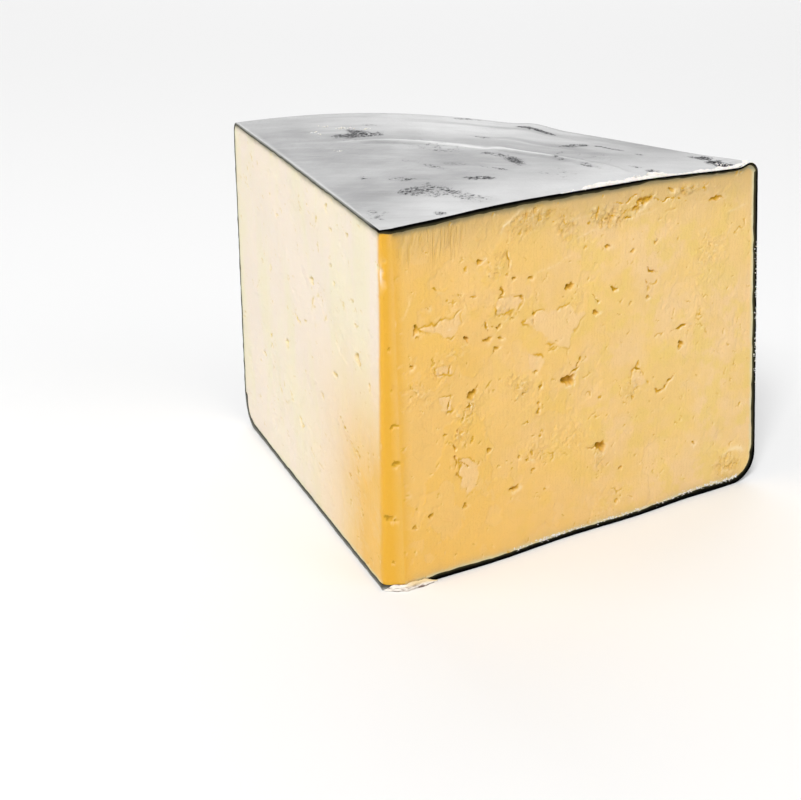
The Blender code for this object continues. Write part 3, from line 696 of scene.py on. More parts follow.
    def scrape_marks(self, x, y):
        x, y = self.warped(x, y, (0.5, 2.2))
        raised, broken = np.zeros(x.shape), 0.6 + 0.5 * self.at(x, y, 1.6)
        for height, width, *points in self.scrapes:
            away, share = along_line(x, y, points)
            raised = np.maximum(raised, height * tapered(share, 0.04, 0.4) * broken * hump(away, width))
        return raised

    def drag(self, x, y):
        """Wrinkles under the wax near the tip, where the blade pulled the paste down."""
        from_top = WHEEL_HEIGHT / MM - y
        slanted = x - 1.6 * np.exp(-from_top / 3.5) + 0.12 * from_top + 0.9 * self.at(x, y, 8)
        ridges = self.at(slanted, y * 0.06, 0.75) + 0.35 * self.at(slanted + 50, y * 0.11, 1.5)
        reach = 12 + 8 * self.at(x, 0, 3.1) + 3 * self.at(x, 0, 1.1)
        mask = smooth((from_top - 1.6) / 1.5) * smooth((reach + 5 - from_top) / 7)
        mask = mask * smooth((x - 4) / 3) * lerp(0.25, 1.0, smooth((40 - x) / 10)) * smooth((84 - x) / 20)
        return DRAG_DEPTH * ridges * mask, mask

    def streaks(self, x, y):
        """Fine upright lines that the blade left, stronger in some places than in others."""
        fine = self.at(x + 0.02 * y, y * 0.045, 0.8) + 0.7 * self.at(x, y * 0.07, 1.9)
        return STREAK_DEPTH[self.turn] * fine * (0.5 + 0.5 * self.at(x, y, 24))

    def marks(self, x, y):
        """All the face's fields at these places: depth in mm, and shares from 0 to 1 for its colours."""
        hole, hole_pit, rim = self.hole_marks(x, y)
        crack, crack_pit = self.crack_marks(x, y)
        plate, fresh, seam = self.plate_marks(x, y)
        rough, crumble, fleck, amber = self.rough_marks(x, y)
        tear = self.tear_marks(x, y, crumble)
        scrape = self.scrape_marks(x, y)
        slow = 0.1 * self.at(x, y, 17) + 0.06 * self.at(x, y, 6) + 0.04 * self.fractal(x, y, 1.1, 2)
        depth = plate + rough + 0.28 * tear - scrape + self.streaks(x, y) + slow
        # pit: painted shade in cracks, along plate seams and in tears
        pit_tone_and_shade = np.maximum(np.maximum(crack_pit, 0.62 * seam), 0.55 * tear)
        drag = 0 * x
        if self.turn == 0:
            wrinkles, drag = self.drag(x, y)
            depth = depth + wrinkles
            # painted shade in the wrinkles' grooves and a painted highlight on their ridges
            pit_tone_and_shade = np.maximum(pit_tone_and_shade, 0.28 * smooth(2.5 * wrinkles))
            rim = rim + 0.45 * smooth(-3 * wrinkles - 0.25)
        # the deep gold of crumbly patches goes in with the painted shade
        pit_tone_and_shade = np.maximum(pit_tone_and_shade, 0.55 * amber)
        depth = np.maximum(depth, np.maximum(hole, crack) + 0.3 * np.minimum(depth, 0))
        # painted highlight: the marks moved down and to the right, where their far edge catches the light, and the lit
        # rims of holes and wrinkles; paler too where scrapes stand up and flecks break out
        lit_lip = np.clip(np.roll(pit_tone_and_shade, (-1, 1), axis=(0, 1)) - pit_tone_and_shade, 0, 1)
        pale_and_highlight = np.clip(3 * scrape + 0.45 * fleck + lit_lip + rim, 0, 1)
        # painted shade in the holes
        pit_tone_and_shade = np.maximum(pit_tone_and_shade, hole_pit)
        return {"depth": depth, "pit_tone_and_shade": pit_tone_and_shade, "fresh": fresh, "crumble": crumble, "pale_and_highlight": pale_and_highlight, "drag": drag}


# Meshes

def add_piece(name, points, faces, material, fields=None):
    """A smooth mesh object with its fields stored as attributes and its faces turned out."""
    mesh = bpy.data.meshes.new(name)
    mesh.from_pydata(points.tolist(), [], faces)
    for field, values in (fields or {}).items():
        mesh.attributes.new(field, "FLOAT", "POINT").data.foreach_set("value", values.astype(np.float32))
    bm = bmesh.new()
    bm.from_mesh(mesh)
    bmesh.ops.recalc_face_normals(bm, faces=bm.faces)
    bmesh.ops.triangulate(bm, faces=bm.faces)
    bm.to_mesh(mesh)
    bm.free()
    mesh.shade_smooth()
    mesh.materials.append(material)
    piece = bpy.data.objects.new(name, mesh)
    bpy.context.scene.collection.objects.link(piece)
    return piece


def add_tube(name, rings, material, fields=()):
    """A closed piece from rings of points, each point with its fields after its place, and a cap on each end."""
    rings = np.array(rings)
    count, size = rings.shape[:2]
    lower = np.arange(count - 1)[:, None] * size + np.arange(size)
    beside = np.roll(lower, -1, axis=1)
    faces = np.stack([lower, beside, beside + size, lower + size], axis=-1).reshape(-1, 4).tolist()
    faces.append(list(range(size)))
    faces.append(list(range((count - 1) * size, count * size))[::-1])
    flat = rings.reshape(count * size, -1)
    return add_piece(name, flat[:, :3], faces, material, dict(zip(fields, flat[:, 3:].T)))


def slim(piece):
    """Collapses the flattest triangles until no more than the most are left, and keeps the flat steps sharp."""
    count = len(piece.data.polygons)
    if count > MOST_TRIANGLES:
        modifier = piece.modifiers.new("slim", "DECIMATE")
        modifier.ratio = MOST_TRIANGLES / count
        graph = bpy.context.evaluated_depsgraph_get()
        shown = piece.evaluated_get(graph)
        slimmer = bpy.data.meshes.new_from_object(shown, preserve_all_data_layers=True, depsgraph=graph)
        piece.modifiers.clear()
        piece.data = slimmer
    piece.data.set_sharp_from_angle(angle=radians(SHARP_DEGREES))
    return piece


def with_fields(points, fields):
    """Rows and columns of points with the paste's fields after each place."""
    columns = [np.broadcast_to(fields.get(name, 0.0), points.shape[:2]) for name in PASTE_FIELDS]
    return np.dstack([points, *columns])


def cut_columns(look, shares, heights):
    """Places and fields of one cut face, as rows by columns. shares go from the tip to the rim."""
    turn = look.turn
    nominal = WHEEL_RADIUS * shares[None, :]
    z = lerp(0.5 * wax_base(nominal), top_height(nominal, turn) - 0.5 * wax_top(turn, nominal), heights[:, None])
    reach = lerp(shave_reach(turn, z), rim_reach(turn, z, 0.5 * wax_side(turn)), shares[None, :])
    x, y = reach / MM, z / MM
    fields = look.marks(x, y)
    from_top = (top_height(reach, turn) - wax_top(turn, reach) - z) / MM
    from_rim = (rim_reach(turn, z, wax_side(turn)) - reach) / MM
    from_base = (z - wax_base(reach)) / MM
    from_tip = (reach - shave_reach(turn, z)) / MM
    from_side = np.minimum(from_rim, from_base)
    fade = smooth((np.minimum(from_top, from_side) - 0.15) / 1.2) * smooth((from_tip + 0.4) / 1.2)
    points = on_cut(turn, reach, z, fields["depth"] * fade * MM)
    uneven = 0.7 * look.fractal(x, y, 5)
    # rind: olive band under the top wax, partly the paste's own rind and partly painted shade cast by the wax's edge
    fields["rind_and_shade"] = hump(np.maximum(from_top + uneven * 0.3, 0), 1.3 if turn else 1.5)
    fields["rind_side"] = hump(np.maximum(from_side + uneven * 0.3, 0), 0.9)
    if turn:
        # On the left cut, gold is painted shade and yellow bounce light from a slice that leaned there, low down near
        # the tip; the rest of that cut is pale cream, partly its own drier tone and partly painted light
        gold = np.minimum(1.0, 1.18 * hump(x, 56) * smooth((112 - y) / 85))
        # tip: painted glow of light through the thin edge next to the tip
        fields.update(warm=gold, dry=1 - gold, tip=0.95 * smooth(1 - from_tip / 3.2))
    else:
        # dull: painted shade in a band under the top wax, and a darker band along the base
        dull = 0.8 * hump(from_top + uneven, 9 + 0.02 * x) + 0.6 * hump(from_base + uneven, 2.6)
        # tip: painted glow of light through the thin edge next to the tip
        fields.update(warm=smooth(1.04 - 0.0058 * x - 0.0022 * y), dull=dull, tip=0.68 * smooth(1 - from_tip / 5))
    return with_fields(points, fields)


def shave_columns(right, left):
    """The shaved tip between the right and left cuts' first columns, with its own holes, painted shade in them, and a
    pale nick. Its yellow is a painted glow of light shining through the thin edge, strongest towards the left cut.
    """
    shares = np.linspace(1, 0, SHAVE_COLUMNS + 2)[1:-1]
    points = lerp(right[:, None, :], left[:, None, :], shares[None, :, None])
    across, z = np.broadcast_arrays(TIP_WIDTH * (1 - shares[None, :]), points[..., 2] / MM)
    look = CutLook(0, TIP_HOLES, (), (), RIGHT_ROUGH, ())
    hole, pit_tone_and_shade, rim = look.hole_marks(across, z)
    nick = hump(z - NICK_PLACE, NICK_SIZE) * smooth((4.5 - across) / 5 + 0.5 * look.at(z, across, 2))
    rough = 0.1 * look.fractal(across * 1.4, z * 0.35, 2.2) * np.sin(pi * across / TIP_WIDTH)
    points[..., 1] += (0.5 * hole + NICK_DEPTH * nick + rough) * MM
    tip_glow = lerp(0.68, 1.0, smooth(1.7 * (1 - across / TIP_WIDTH))) * (1 - nick)
    return with_fields(points, {"tip": tip_glow, "dry": nick, "pit_tone_and_shade": np.minimum(0.8, 1.2 * pit_tone_and_shade), "pale_and_highlight": 0.6 * rim})


def ease_corner(points, column, span):
    """Rounds the upright edge at this column by averaging its neighbours across, this many on each side."""
    size = points.shape[1]
    for _ in range(3 * span):
        for index in range(column - span, column + span + 1):
            points[:, index % size] = (
                points[:, (index - 1) % size] + 2 * points[:, index % size] + points[:, (index + 1) % size]
            ) / 4


def cap_rings(ring, middle, side):
    """Rings that shrink from this one to the middle, just under the wax. side is 1 at the top and -1 at the base."""
    share = np.arange(1, CAP_RINGS + 1)[:, None] / CAP_RINGS
    plan = lerp(ring[None, :, :2], middle[:2], CAP_CLOSES * share[..., None] ** 2)
    reach, turn = top_place(plan[..., 0], plan[..., 1])
    height = top_height(reach, turn) - 0.5 * wax_top(turn, reach) if side > 0 else 0.5 * wax_base(reach)
    return with_fields(np.dstack([plan, height - side * CAP_DROP * smooth(2 * share)]), {})


def make_paste(material):
    """The cheese itself: rings of points from its base to its top, and a cap of shrinking rings at each end."""
    heights = np.linspace(0, 1, HEIGHT_ROWS)
    right_look = CutLook(0, RIGHT_HOLES, RIGHT_CRACKS, RIGHT_PLATES, RIGHT_ROUGH, RIGHT_SCRAPES)
    left_look = CutLook(1, LEFT_HOLES, LEFT_CRACKS, LEFT_PLATES, LEFT_ROUGH, LEFT_SCRAPES)
    right = cut_columns(right_look, np.linspace(0, 1, CUT_COLUMNS[0]), heights)
    left = cut_columns(left_look, np.linspace(1, 0, CUT_COLUMNS[1]), heights)
    turns = np.linspace(0, 1, ARC_COLUMNS + 2)[1:-1][None, :]
    z = lerp(0.5 * WAX_BASE[1], top_end(turns)[1] - 0.5 * wax_top(turns, WHEEL_RADIUS), heights[:, None])
    arc = with_fields(polar(rim_reach(turns, z, 0.5 * wax_side(turns)), turns, z), {})
    rings = np.concatenate([right, arc, left, shave_columns(right[:, 0, :3], left[:, -1, :3])], axis=1)
    ease_corner(rings[..., :3], 0, 7)
    ease_corner(rings[..., :3], rings.shape[1] - SHAVE_COLUMNS - 1, 3)
    middle = rings[0].mean(axis=0)
    rings = np.concatenate([cap_rings(rings[0], middle, -1)[::-1], rings, cap_rings(rings[-1], middle, 1)])
    return slim(add_tube("cheddar_paste", rings, material, PASTE_FIELDS))


def wax_line(zone, share, turns, inset):
    """One line of points across the wax, from the right cut, 0, to the left cut, 1, this far under its surface."""
    reach, high = top_end(turns)
    if zone in ("top", "base"):
        z = WHEEL_HEIGHT if zone == "top" else 0.0
        tip = lerp(*(polar(shave_reach(turn, z), turn, z) for turn in (0, 1)), turns[:, None])
        rim = polar(reach if zone == "top" else side_radius(turns, z) - BASE_EDGE_RADIUS, turns, z)
        points = lerp(tip, rim, share if zone == "top" else 1 - share)
        points[:, 2] = top_height(*top_place(points[:, 0], points[:, 1])) - inset if zone == "top" else inset
        return points
    if zone == "side":
        z = lerp(high - TOP_EDGE_RADIUS, BASE_EDGE_RADIUS, share)
        return polar(side_radius(turns, z) - inset, turns, z)
    angle = pi / 2 * share
    if zone == "top round":
        radius, across = TOP_EDGE_RADIUS, sin(angle)
        z = high - radius + (radius - inset) * cos(angle)
    else:
        radius, across = BASE_EDGE_RADIUS, cos(angle)
        z = radius - (radius - inset) * sin(angle)
    return polar(side_radius(turns, z) - radius + (radius - inset) * across, turns, z)


def wax_thickness(zone, turns, reach):
    if zone.startswith("top"):
        return wax_top(turns, reach)
    return wax_side(turns) if zone == "side" else wax_base(reach)


def follow_cuts(points, turns):
    """Moves the points near each cut with the slow wave of its paste."""
    for turn in (0, 1):
        near = smooth(1 - np.abs(turns - turn) / EDGE_BLEND)
        reach = np.hypot(points[:, 0], points[:, 1])
        points += (near * wave(turn, reach, points[:, 2]))[:, None] * into_cut(turn)


def top_relief(x, y):
    """Dents and folds of the waxed top, where its bloom is rubbed dark or painted with shade beside folds, and where
    it is paler: a painted highlight on fold crests and along the left cut, a painted reflection at the back, and paler
    along the right cut, from 0 to 1.
    """
    noise = Noise(7)
    reach, turn = top_place(x, y)
    x, y, reach = x / MM, y / MM, reach / MM
    angle = np.radians(lerp(RIGHT_CUT, LEFT_CUT, turn))
    lift = 0.1 * noise.fractal(x, y, 24, 4)
    dark, pale_and_highlight = np.zeros((2, *x.shape))
    wobble = 1.5 * noise.at(x, y, 9) + 0.6 * noise.at(x, y, 2.5)
    for place, degrees, a, b, tilt, strength in TOP_SCUFFS:
        along, across = turned((angle - radians(degrees)) * reach, reach - place, tilt)
        dark = np.maximum(dark, smooth(1.5 - np.hypot(along / a, across / b) + 0.35 * wobble) * strength)
    for height, width, shade, *places in TOP_FOLDS:
        line = [(radians(degrees) * place, place) for place, degrees in places]
        away, share = along_line(angle * reach + 0.5 * wobble, reach + 0.5 * wobble, line)
        fold = hump(away, width) * tapered(share, 0.02, 0.5)
        lift = lift + height * fold
        # folds whose shade is below 0 paint shade beside the crease; the others paint a highlight on their crest
        dark = np.maximum(dark, -shade * fold)
        pale_and_highlight = np.maximum(pale_and_highlight, CREASE_HIGHLIGHT * shade * fold)
    pale_and_highlight = np.maximum(pale_and_highlight, TOP_PALE_FRONT * smooth(1.35 - (angle - radians(RIGHT_CUT)) * reach / 37))
    # painted reflection of the back light, in bands across the back of the top
    bands = smooth(0.75 + 0.9 * noise.fractal(reach + 90, 0.1 * angle * reach, 7))
    pale_and_highlight = np.maximum(pale_and_highlight, TOP_SHEEN_BACK * smooth((reach - 126) / 26) * hump(turn - 0.58, 0.28) * bands)
    # painted highlight along the wax's edge at the left cut
    pale_and_highlight = np.maximum(pale_and_highlight, 0.9 * hump((radians(LEFT_CUT) - angle) * reach, 0.9))
    return lift * MM, dark, pale_and_highlight


def round_wax(outer=0.0, left=0.0, inner=0.0, right=0.0):
    """One value for each point of a ring of the wax, from the values of its four runs."""
    runs = ((outer, WAX_COLUMNS), (left, len(EDGE_PROFILE)), (inner, WAX_INNER_COLUMNS), (right, len(EDGE_PROFILE)))
    return np.concatenate([np.broadcast_to(values, count) for values, count in runs])


def make_wax(materials):
    """The wax as a thin closed shell: each ring goes out over its surface, round the left cut edge and back inside."""
    noise = Noise(9)
    turns, inner_turns = np.linspace(0, 1, WAX_COLUMNS), np.linspace(1, 0, WAX_INNER_COLUMNS)
    stations = [(zone, step / count) for zone, count in WAX_STATIONS for step in range(count)] + [("base", 1.0)]
    depths = np.array(EDGE_PROFILE)[:, 0]
    ends, inner_ends = np.isin(turns, (0, 1)), np.isin(inner_turns, (0, 1))
    rings, run = [], 0.0
    for zone, share in stations:
        outer = wax_line(zone, share, turns, 0.0)
        if rings:
            run += dist(outer[0], rings[-1][0, :3]) / MM
        reach = np.hypot(outer[:, 0], outer[:, 1])
        bloom = {"top": 1.0, "top round": smooth(1 - 1.4 * share)}.get(zone, 0.0)
        lift, dark, pale_and_highlight = top_relief(outer[:, 0], outer[:, 1])
        if zone == "top":
            outer[:, 2] += lift * smooth((1.02 - share) / 0.05)
        thick = wax_thickness(zone, inner_turns, np.interp(inner_turns, turns, reach))
        for end, seed in ((0, 3), (-1, 40)):
            thick[end] += WAX_UNEVEN * noise.fractal(run, seed, 4.5)
        inner = wax_line(zone, share, inner_turns, thick)
        follow_cuts(outer, turns)
        follow_cuts(inner, inner_turns)
        strips = []
        for turn, start, end, seed in ((1, outer[-1], inner[0], 11), (0, inner[-1], outer[0], 27)):
            proud = WAX_PROUD * (1.1 + 0.6 * noise.at(run, seed, 2.6)) * into_cut(turn)
            strips.append([lerp(start, end, part) - proud * rise for part, rise in EDGE_PROFILE])
        points = np.concatenate([outer, strips[0], inner, strips[1]])
        fields = (
            round_wax(bloom),
            round_wax(dark * bloom),
            round_wax(pale_and_highlight * bloom),
            round_wax(ends, 1, inner_ends, 1),
            round_wax(0, depths, 1, 1 - depths) * (BASE_CUT_SHADE if zone.startswith("base") else 1),
            round_wax(turns > 0.5, 1, inner_turns > 0.5) * smooth(run / CUT_GREYS_BY),
        )
        rings.append(np.column_stack([points, *fields]))
    for end in (0, -1):
        rings[end][:, 1] -= WAX_PROUD
        rings[end][:, 3 + WAX_FIELDS.index("cut_edge")] = 1.0
    piece = add_tube("black_wax", rings, materials[0], WAX_FIELDS)
    piece.data.materials.append(materials[1])
    marked = [corner.value > 0.5 for corner in piece.data.attributes["cut_edge"].data]
    for face in piece.data.polygons:
        face.material_index = int(all(marked[corner] for corner in face.vertices))
    return slim(piece)


# Small bits of paste and torn wax

def lumps(name, places, material, seed):
    """Small uneven lumps, each a closed body, at (point, radius) places."""
    draw = np.random.default_rng(seed)
    bm = bmesh.new()
    bmesh.ops.create_icosphere(bm, subdivisions=2, radius=1.0)
    ball = np.array([vert.co for vert in bm.verts])
    ball_faces = np.array([[vert.index for vert in face.verts] for face in bm.faces])
    bm.free()
    points, faces = [], []
    for number, (place, radius) in enumerate(places):
        axes = radius * draw.uniform(0.6, 1.3, 3) * (1, 1, LUMP_FLATNESS)
        bulge = 1 + 0.16 * np.sin(2.3 * ball @ draw.normal(0, 1, (3, 3))).sum(axis=1)
        points.append(place + ball * axes * bulge[:, None])
        faces.append(ball_faces + number * len(ball))
    return add_piece(name, np.concatenate(points), np.concatenate(faces).tolist(), material)


def make_crumbs(material):
    """Crumbs on the wax along the right cut, down its side, along its base, and on the folds of the top."""
    draw = np.random.default_rng(21)
    places = []
    for start, end, count, spread in CRUMB_RUNS:
        for share in draw.uniform(0, 1, count):
            away = abs(draw.normal(0, 1)) * spread * MM
            radius = lerp(0.16, 0.50, draw.uniform() ** 2) * MM
            spot = on_cut(0, lerp(start, end, share) * MM, WHEEL_HEIGHT, away)
            places.append((on_top(spot, 0.3 * radius), radius))
    for start, end, count in BASE_CRUMB_RUNS:
        for share in draw.uniform(0, 1, count):
            reach = lerp(start, end, share) * MM
            z = wax_base(reach) + draw.normal(0.3, 0.55) * MM
            places.append((on_cut(0, reach, z, 0.05 * MM), draw.uniform(*CRUMB_SIZE) * MM))
    low, high, count = SIDE_CRUMBS
    for z in draw.uniform(low, high, count) * MM:
        reach = rim_reach(0.0, z) - abs(draw.normal(0, 0.5)) * MM
        places.append((on_cut(0, reach, z, -0.3 * MM), draw.uniform(*CRUMB_SIZE) * MM))
    for reach, degrees, count in TOP_CURLS:
        for _ in range(count):
            angle = radians(degrees + draw.normal(0, 0.8))
            spot = np.array([cos(angle), sin(angle), 0.0]) * (reach + draw.normal(0, 1.2)) * MM
            places.append((on_top(spot, 0.05 * MM), draw.uniform(0.15, 0.42) * MM))
    return lumps("crumbs", places, material, 22)


def edge_path(along):
    """A point on the wax's outer edge at the right cut, and the way out of the wax there.

    along runs in mm from the tip over the top, and on from the rim down the side.
    """
    reach, high = top_end(0.0)
    past = along * MM - reach
    if past <= 0:
        spot = on_cut(0, along * MM, WHEEL_HEIGHT)
        spot[2] = top_height(along * MM, 0.0)
        return spot, np.array([0.0, 0.0, 1.0])
    angle = min(pi / 2, past / TOP_EDGE_RADIUS)
    down = max(0.0, past - TOP_EDGE_RADIUS * pi / 2)
    out = polar(1.0, 0, WHEEL_HEIGHT) * (1, 1, 0) * sin(angle) + (0, 0, cos(angle))
    return polar(reach, 0, high - TOP_EDGE_RADIUS - down) + out * TOP_EDGE_RADIUS, out


def make_burr(material):
    """The ragged rim of pale paste that the knife smeared over the wax's edge, from mid cut round the corner."""
    noise, inward = Noise(51), into_cut(0)
    places, widths, heights = zip(*BURR)
    rings = []
    for along in np.arange(places[0], places[-1], BURR_STEP):
        spot, out = edge_path(along)
        ragged = noise.fractal(along, 2, 2.2)
        wide = np.interp(along, places, widths) * max(0.3, 1 + 0.40 * ragged) * MM
        high = np.interp(along, places, heights) * max(0.3, 1 + 0.45 * ragged) * MM
        top, under = [], []
        for share in np.linspace(0, 1, BURR_POINTS):
            bumpy = max(0.2, 1 + 0.45 * noise.fractal(along, 20 + 5 * share, 0.9, 2))
            rise = high * sin(pi * lerp(0.12, 1.0, share)) ** 0.7 * bumpy
            foot = spot + inward * (share * wide - BURR_PROUD)
            top.append(foot + out * (rise - 0.05 * MM))
            under.append(foot - out * 0.12 * MM)
        rings.append(top + under[::-1])
    return add_tube("smeared_rim", rings, material)


def film_path(along):
    """The foot of the wedge at this many mm from the right edge of the shaved tip, with the tip on the minus side."""
    corner, other = (polar(shave_reach(turn, 0.0), turn, 0.0) for turn in (0, 1))
    if along >= 0:
        return polar(shave_reach(0, 0.0) + along * MM, 0, 0.0)
    return corner + (other - corner) * min(1.2, -along * MM / dist(other, corner))


def make_film(material):
    """The torn whitish film of wax that lies round the foot of the tip, with a golden flap."""
    noise = Noise(33)
    rings = []
    for step in range(FILM_STEPS + 1):
        along = lerp(*FILM_SPAN, step / FILM_STEPS)
        thin = 0.15 + 0.85 * smooth(step / 8) * smooth((FILM_STEPS - step) / 12)
        tall = 1 + FILM_FLAP[2] * hump(along - FILM_FLAP[0], FILM_FLAP[1])
        gold = smooth((along + 2) / 5)
        spot = film_path(along)
        front, back = [], []
        for number, (height, away, golden) in enumerate(FILM_PROFILE):
            ragged = noise.fractal(along * 1.3, 9 * number, 2.4)
            middle = spot + FILM_OUT * (away + 0.2 * ragged) * lerp(0.6, 1.0, thin) * MM
            middle[2] = max(0.02, height * (1 + 0.12 * ragged) * thin * tall) * MM
            front.append((*(middle + FILM_OUT * FILM_THICK / 2), golden * gold))
            back.append((*(middle - FILM_OUT * FILM_THICK / 2), golden * gold))
        rings.append(front + back[::-1])
    return add_tube("torn_film", rings, material, ["gold"])


# Materials

class Shader:
    """A material in the making: each call adds a node and gives its socket. A text input stands for a stored field."""

    def __init__(self, name):
        self.material = bpy.data.materials.new(name)
        self.material.use_nodes = True
        self.tree = self.material.node_tree
        self.place = self.tree.nodes.new("ShaderNodeTexCoord").outputs["Object"]

    def fill(self, node, inputs):
        """Links a socket or a field to each input, or sets its value."""
        for key, value in inputs.items():
            if isinstance(value, str):
                value = self.node("ShaderNodeAttribute", {}, "Fac", attribute_name=value)
            if isinstance(value, bpy.types.NodeSocket):
                self.tree.links.new(value, node.inputs[key])
            elif node.inputs[key].type == "RGBA":
                node.inputs[key].default_value = (*value, 1.0)
            else:
                node.inputs[key].default_value = value

    def node(self, kind, inputs, output=0, **settings):
        made = self.tree.nodes.new(kind)
        for setting, value in settings.items():
            setattr(made, setting, value)
        self.fill(made, inputs)
        return made.outputs[output]

    def times(self, value, factor, start=0.0):
        """start + value * factor"""
        return self.node("ShaderNodeMath", {0: value, 1: factor, 2: start}, operation="MULTIPLY_ADD")

    def noise(self, size, detail=3.0, stretch=(1, 1, 1), roughness=0.55):
        place = self.node("ShaderNodeMapping", {"Vector": self.place, "Scale": stretch})
        inputs = {"Vector": place, "Scale": 1 / size, "Detail": detail, "Roughness": roughness}
        return self.node("ShaderNodeTexNoise", inputs, "Fac")

    def ramp(self, value, low, high):
        return self.node("ShaderNodeMapRange", {"Value": value, "From Min": low, "From Max": high}, "Result")

    def mix(self, share, first, second):
        return self.node("ShaderNodeMix", {0: share, 6: first, 7: second}, 2, data_type="RGBA")

    def layers(self, colour, *layers):
        """Lays each (share, strength, colour) over what is under it."""
        for share, strength, over in layers:
            colour = self.mix(self.times(share, strength), colour, over)
        return colour

    def finish(self, height=None, depth=0.0, **inputs):
        """Fills the surface, with a bump of this depth in metres. An underscore in a name stands for a space."""
        if height is not None:
            inputs["Normal"] = self.node("ShaderNodeBump", {"Height": height, "Distance": depth})
        named = {name.replace("_", " "): value for name, value in inputs.items()}
        self.fill(self.tree.nodes["Principled BSDF"], named)
        return self.material


def cheese_material():
    make = Shader("cheddar")
    streak = make.noise(0.0012, 3, stretch=(1, 1, 0.08))
    # line: painted shade in the grooves of the wrinkles under the wax near the tip
    line = make.times(make.ramp(streak, 0.50, 0.62), "drag")
    greenish = make.ramp(make.noise(0.022, 4, stretch=(1, 1, 0.30)), 0.44, 0.60)
    height = make.times(streak, 0.8, make.noise(0.0010, 4))
    height = make.times(make.times(make.noise(0.0008, 3), "crumble"), 2.5, height)
    colour = make.layers(
        GOLD,
        (make.ramp(make.noise(0.026, 4), 0.42, 0.58), 0.70, GOLD_PINK),
        (make.ramp(make.noise(0.011, 4), 0.50, 0.60), 0.70, GOLD_SUN),
        # warm: warmer towards the tip; on the left cut it is painted shade and bounce light
        ("warm", 1.0, GOLD_WARM),
        ("fresh", 0.60, GOLD_PINK),
        (make.ramp(make.noise(0.006, 5, roughness=0.65), 0.35, 0.68), 0.16, GOLD_DULL_AND_SHADE),
        # painted shade under the top wax, and darker along the base
        ("dull", 1.0, GOLD_DULL_AND_SHADE),
        # painted shade in the wrinkles' grooves
        (line, 0.32, HOLE_GOLD),
        # the left cut's pale cream: partly its own drier tone, partly painted light
        ("dry", 1.0, make.mix(make.times(greenish, 0.8), CREAM, CREAM_YELLOW)),
        # painted glow of light through the thin tip
        ("tip", 1.0, TIP_GLOW_YELLOW),
        ("rind_side", 0.8, RIND_PALE),
        # olive band under the wax: partly rind, partly painted shade
        ("rind_and_shade", 0.85, RIND_AND_SHADE_OLIVE),
        # pale scrapes and flecks, and painted highlights
        ("pale_and_highlight", 0.8, SCRAPE_AND_HIGHLIGHT_PALE),
        # painted shade in holes, cracks, seams and tears, over the paste's own deeper gold
        (make.ramp("pit_tone_and_shade", 0.0, 0.5), 1.0, make.mix("dry", HOLE_GOLD, HOLE_PALE)),
        (make.ramp("pit_tone_and_shade", 0.58, 1.1), 1.0, make.mix("dry", HOLE_SHADE_BROWN, HOLE_SHADE_OLIVE)),
    )
    return make.finish(
        height=make.times(line, -1.0, height),
        depth=0.00022,
        Base_Color=colour,
        Roughness=make.ramp(make.noise(0.012, 3), -0.8, 1.9),
        Specular_IOR_Level=make.times(make.ramp("pit_tone_and_shade", 0.55, 0.0), 0.5),
        Subsurface_Weight=0.12,
        Subsurface_Radius=(1.0, 0.6, 0.2),
        Subsurface_Scale=0.0010,
        IOR=1.45,
    )


def wax_material():
    """Black wax, worn in places, under a grey bloom on the top that is rubbed off in specks where it is scuffed. Over
    the bloom lie a painted sheen, painted highlights on fold crests and painted shade beside folds.
    """
    make = Shader("black_wax")
    fleck = make.ramp(make.noise(0.0028, 6, roughness=0.8), 0.30, 0.70)
    rarity = make.times("dark", -0.92, 1.0)
    scuffed = make.ramp(fleck, rarity, make.times(rarity, 1.0, 0.30))
    speck = make.noise(0.0012, 4, roughness=0.75)
    dark_speck = make.times(scuffed, make.ramp(speck, 0.52, 0.46))
    pale_speck = make.times(scuffed, make.ramp(speck, 0.56, 0.64))
    body = make.times(scuffed, make.times(make.ramp("dark", 0.86, 1.0), 0.42, 0.12))
    bare = make.times(make.ramp("dark", 1.0, 1.5), make.ramp(speck, 0.60, 0.52))
    brushed = make.noise(0.006, 4, stretch=(0.22, 1, 1), roughness=0.6)
    grey = make.layers(
        WAX_GREY,
        (make.ramp(make.noise(0.045, 5), 0.3, 0.7), 0.3, WAX_PALE),
        # the pale field: paler along the right cut, painted reflection at the back and painted highlights
        ("pale_and_highlight", 0.8, WAX_PALE),
        (make.ramp(brushed, 0.50, 0.70), 0.16, WAX_PALE),
        (make.ramp(brushed, 0.48, 0.30), 0.11, WAX_DARK),
        # the dark field: scuffs, and painted shade beside the folds
        ("dark", 0.14, WAX_DARK),
        # painted white highlight on the fold crests
        (make.ramp("pale_and_highlight", 1.0, 1.6), 0.8, WAX_HIGHLIGHT_WHITE),
        (body, 1.0, WAX_DARK),
        (pale_speck, 0.6, WAX_PALE),
        (dark_speck, 1.0, WAX_DARK),
        (bare, 1.0, WAX_BLACK),
    )
    worn = make.ramp(make.noise(0.006, 5, roughness=0.7), 0.58, 0.75)
    rubbed = body
    for mark in (dark_speck, bare):
        rubbed = make.node("ShaderNodeMath", {0: mark, 1: rubbed}, operation="MAXIMUM")
    return make.finish(
        height=make.times(make.noise(0.012, 3), 2.0, make.noise(0.0022, 4)),
        depth=0.00018,
        Base_Color=make.layers(WAX_BLACK, (worn, 0.5, WAX_WORN), ("bloom", 1.0, grey)),
        Roughness=make.times(rubbed, 0.42, make.ramp(make.noise(0.02, 3), -0.7, 2.0)),
        Specular_IOR_Level=make.times(rubbed, -0.42, 0.5),
        IOR=1.5,
    )


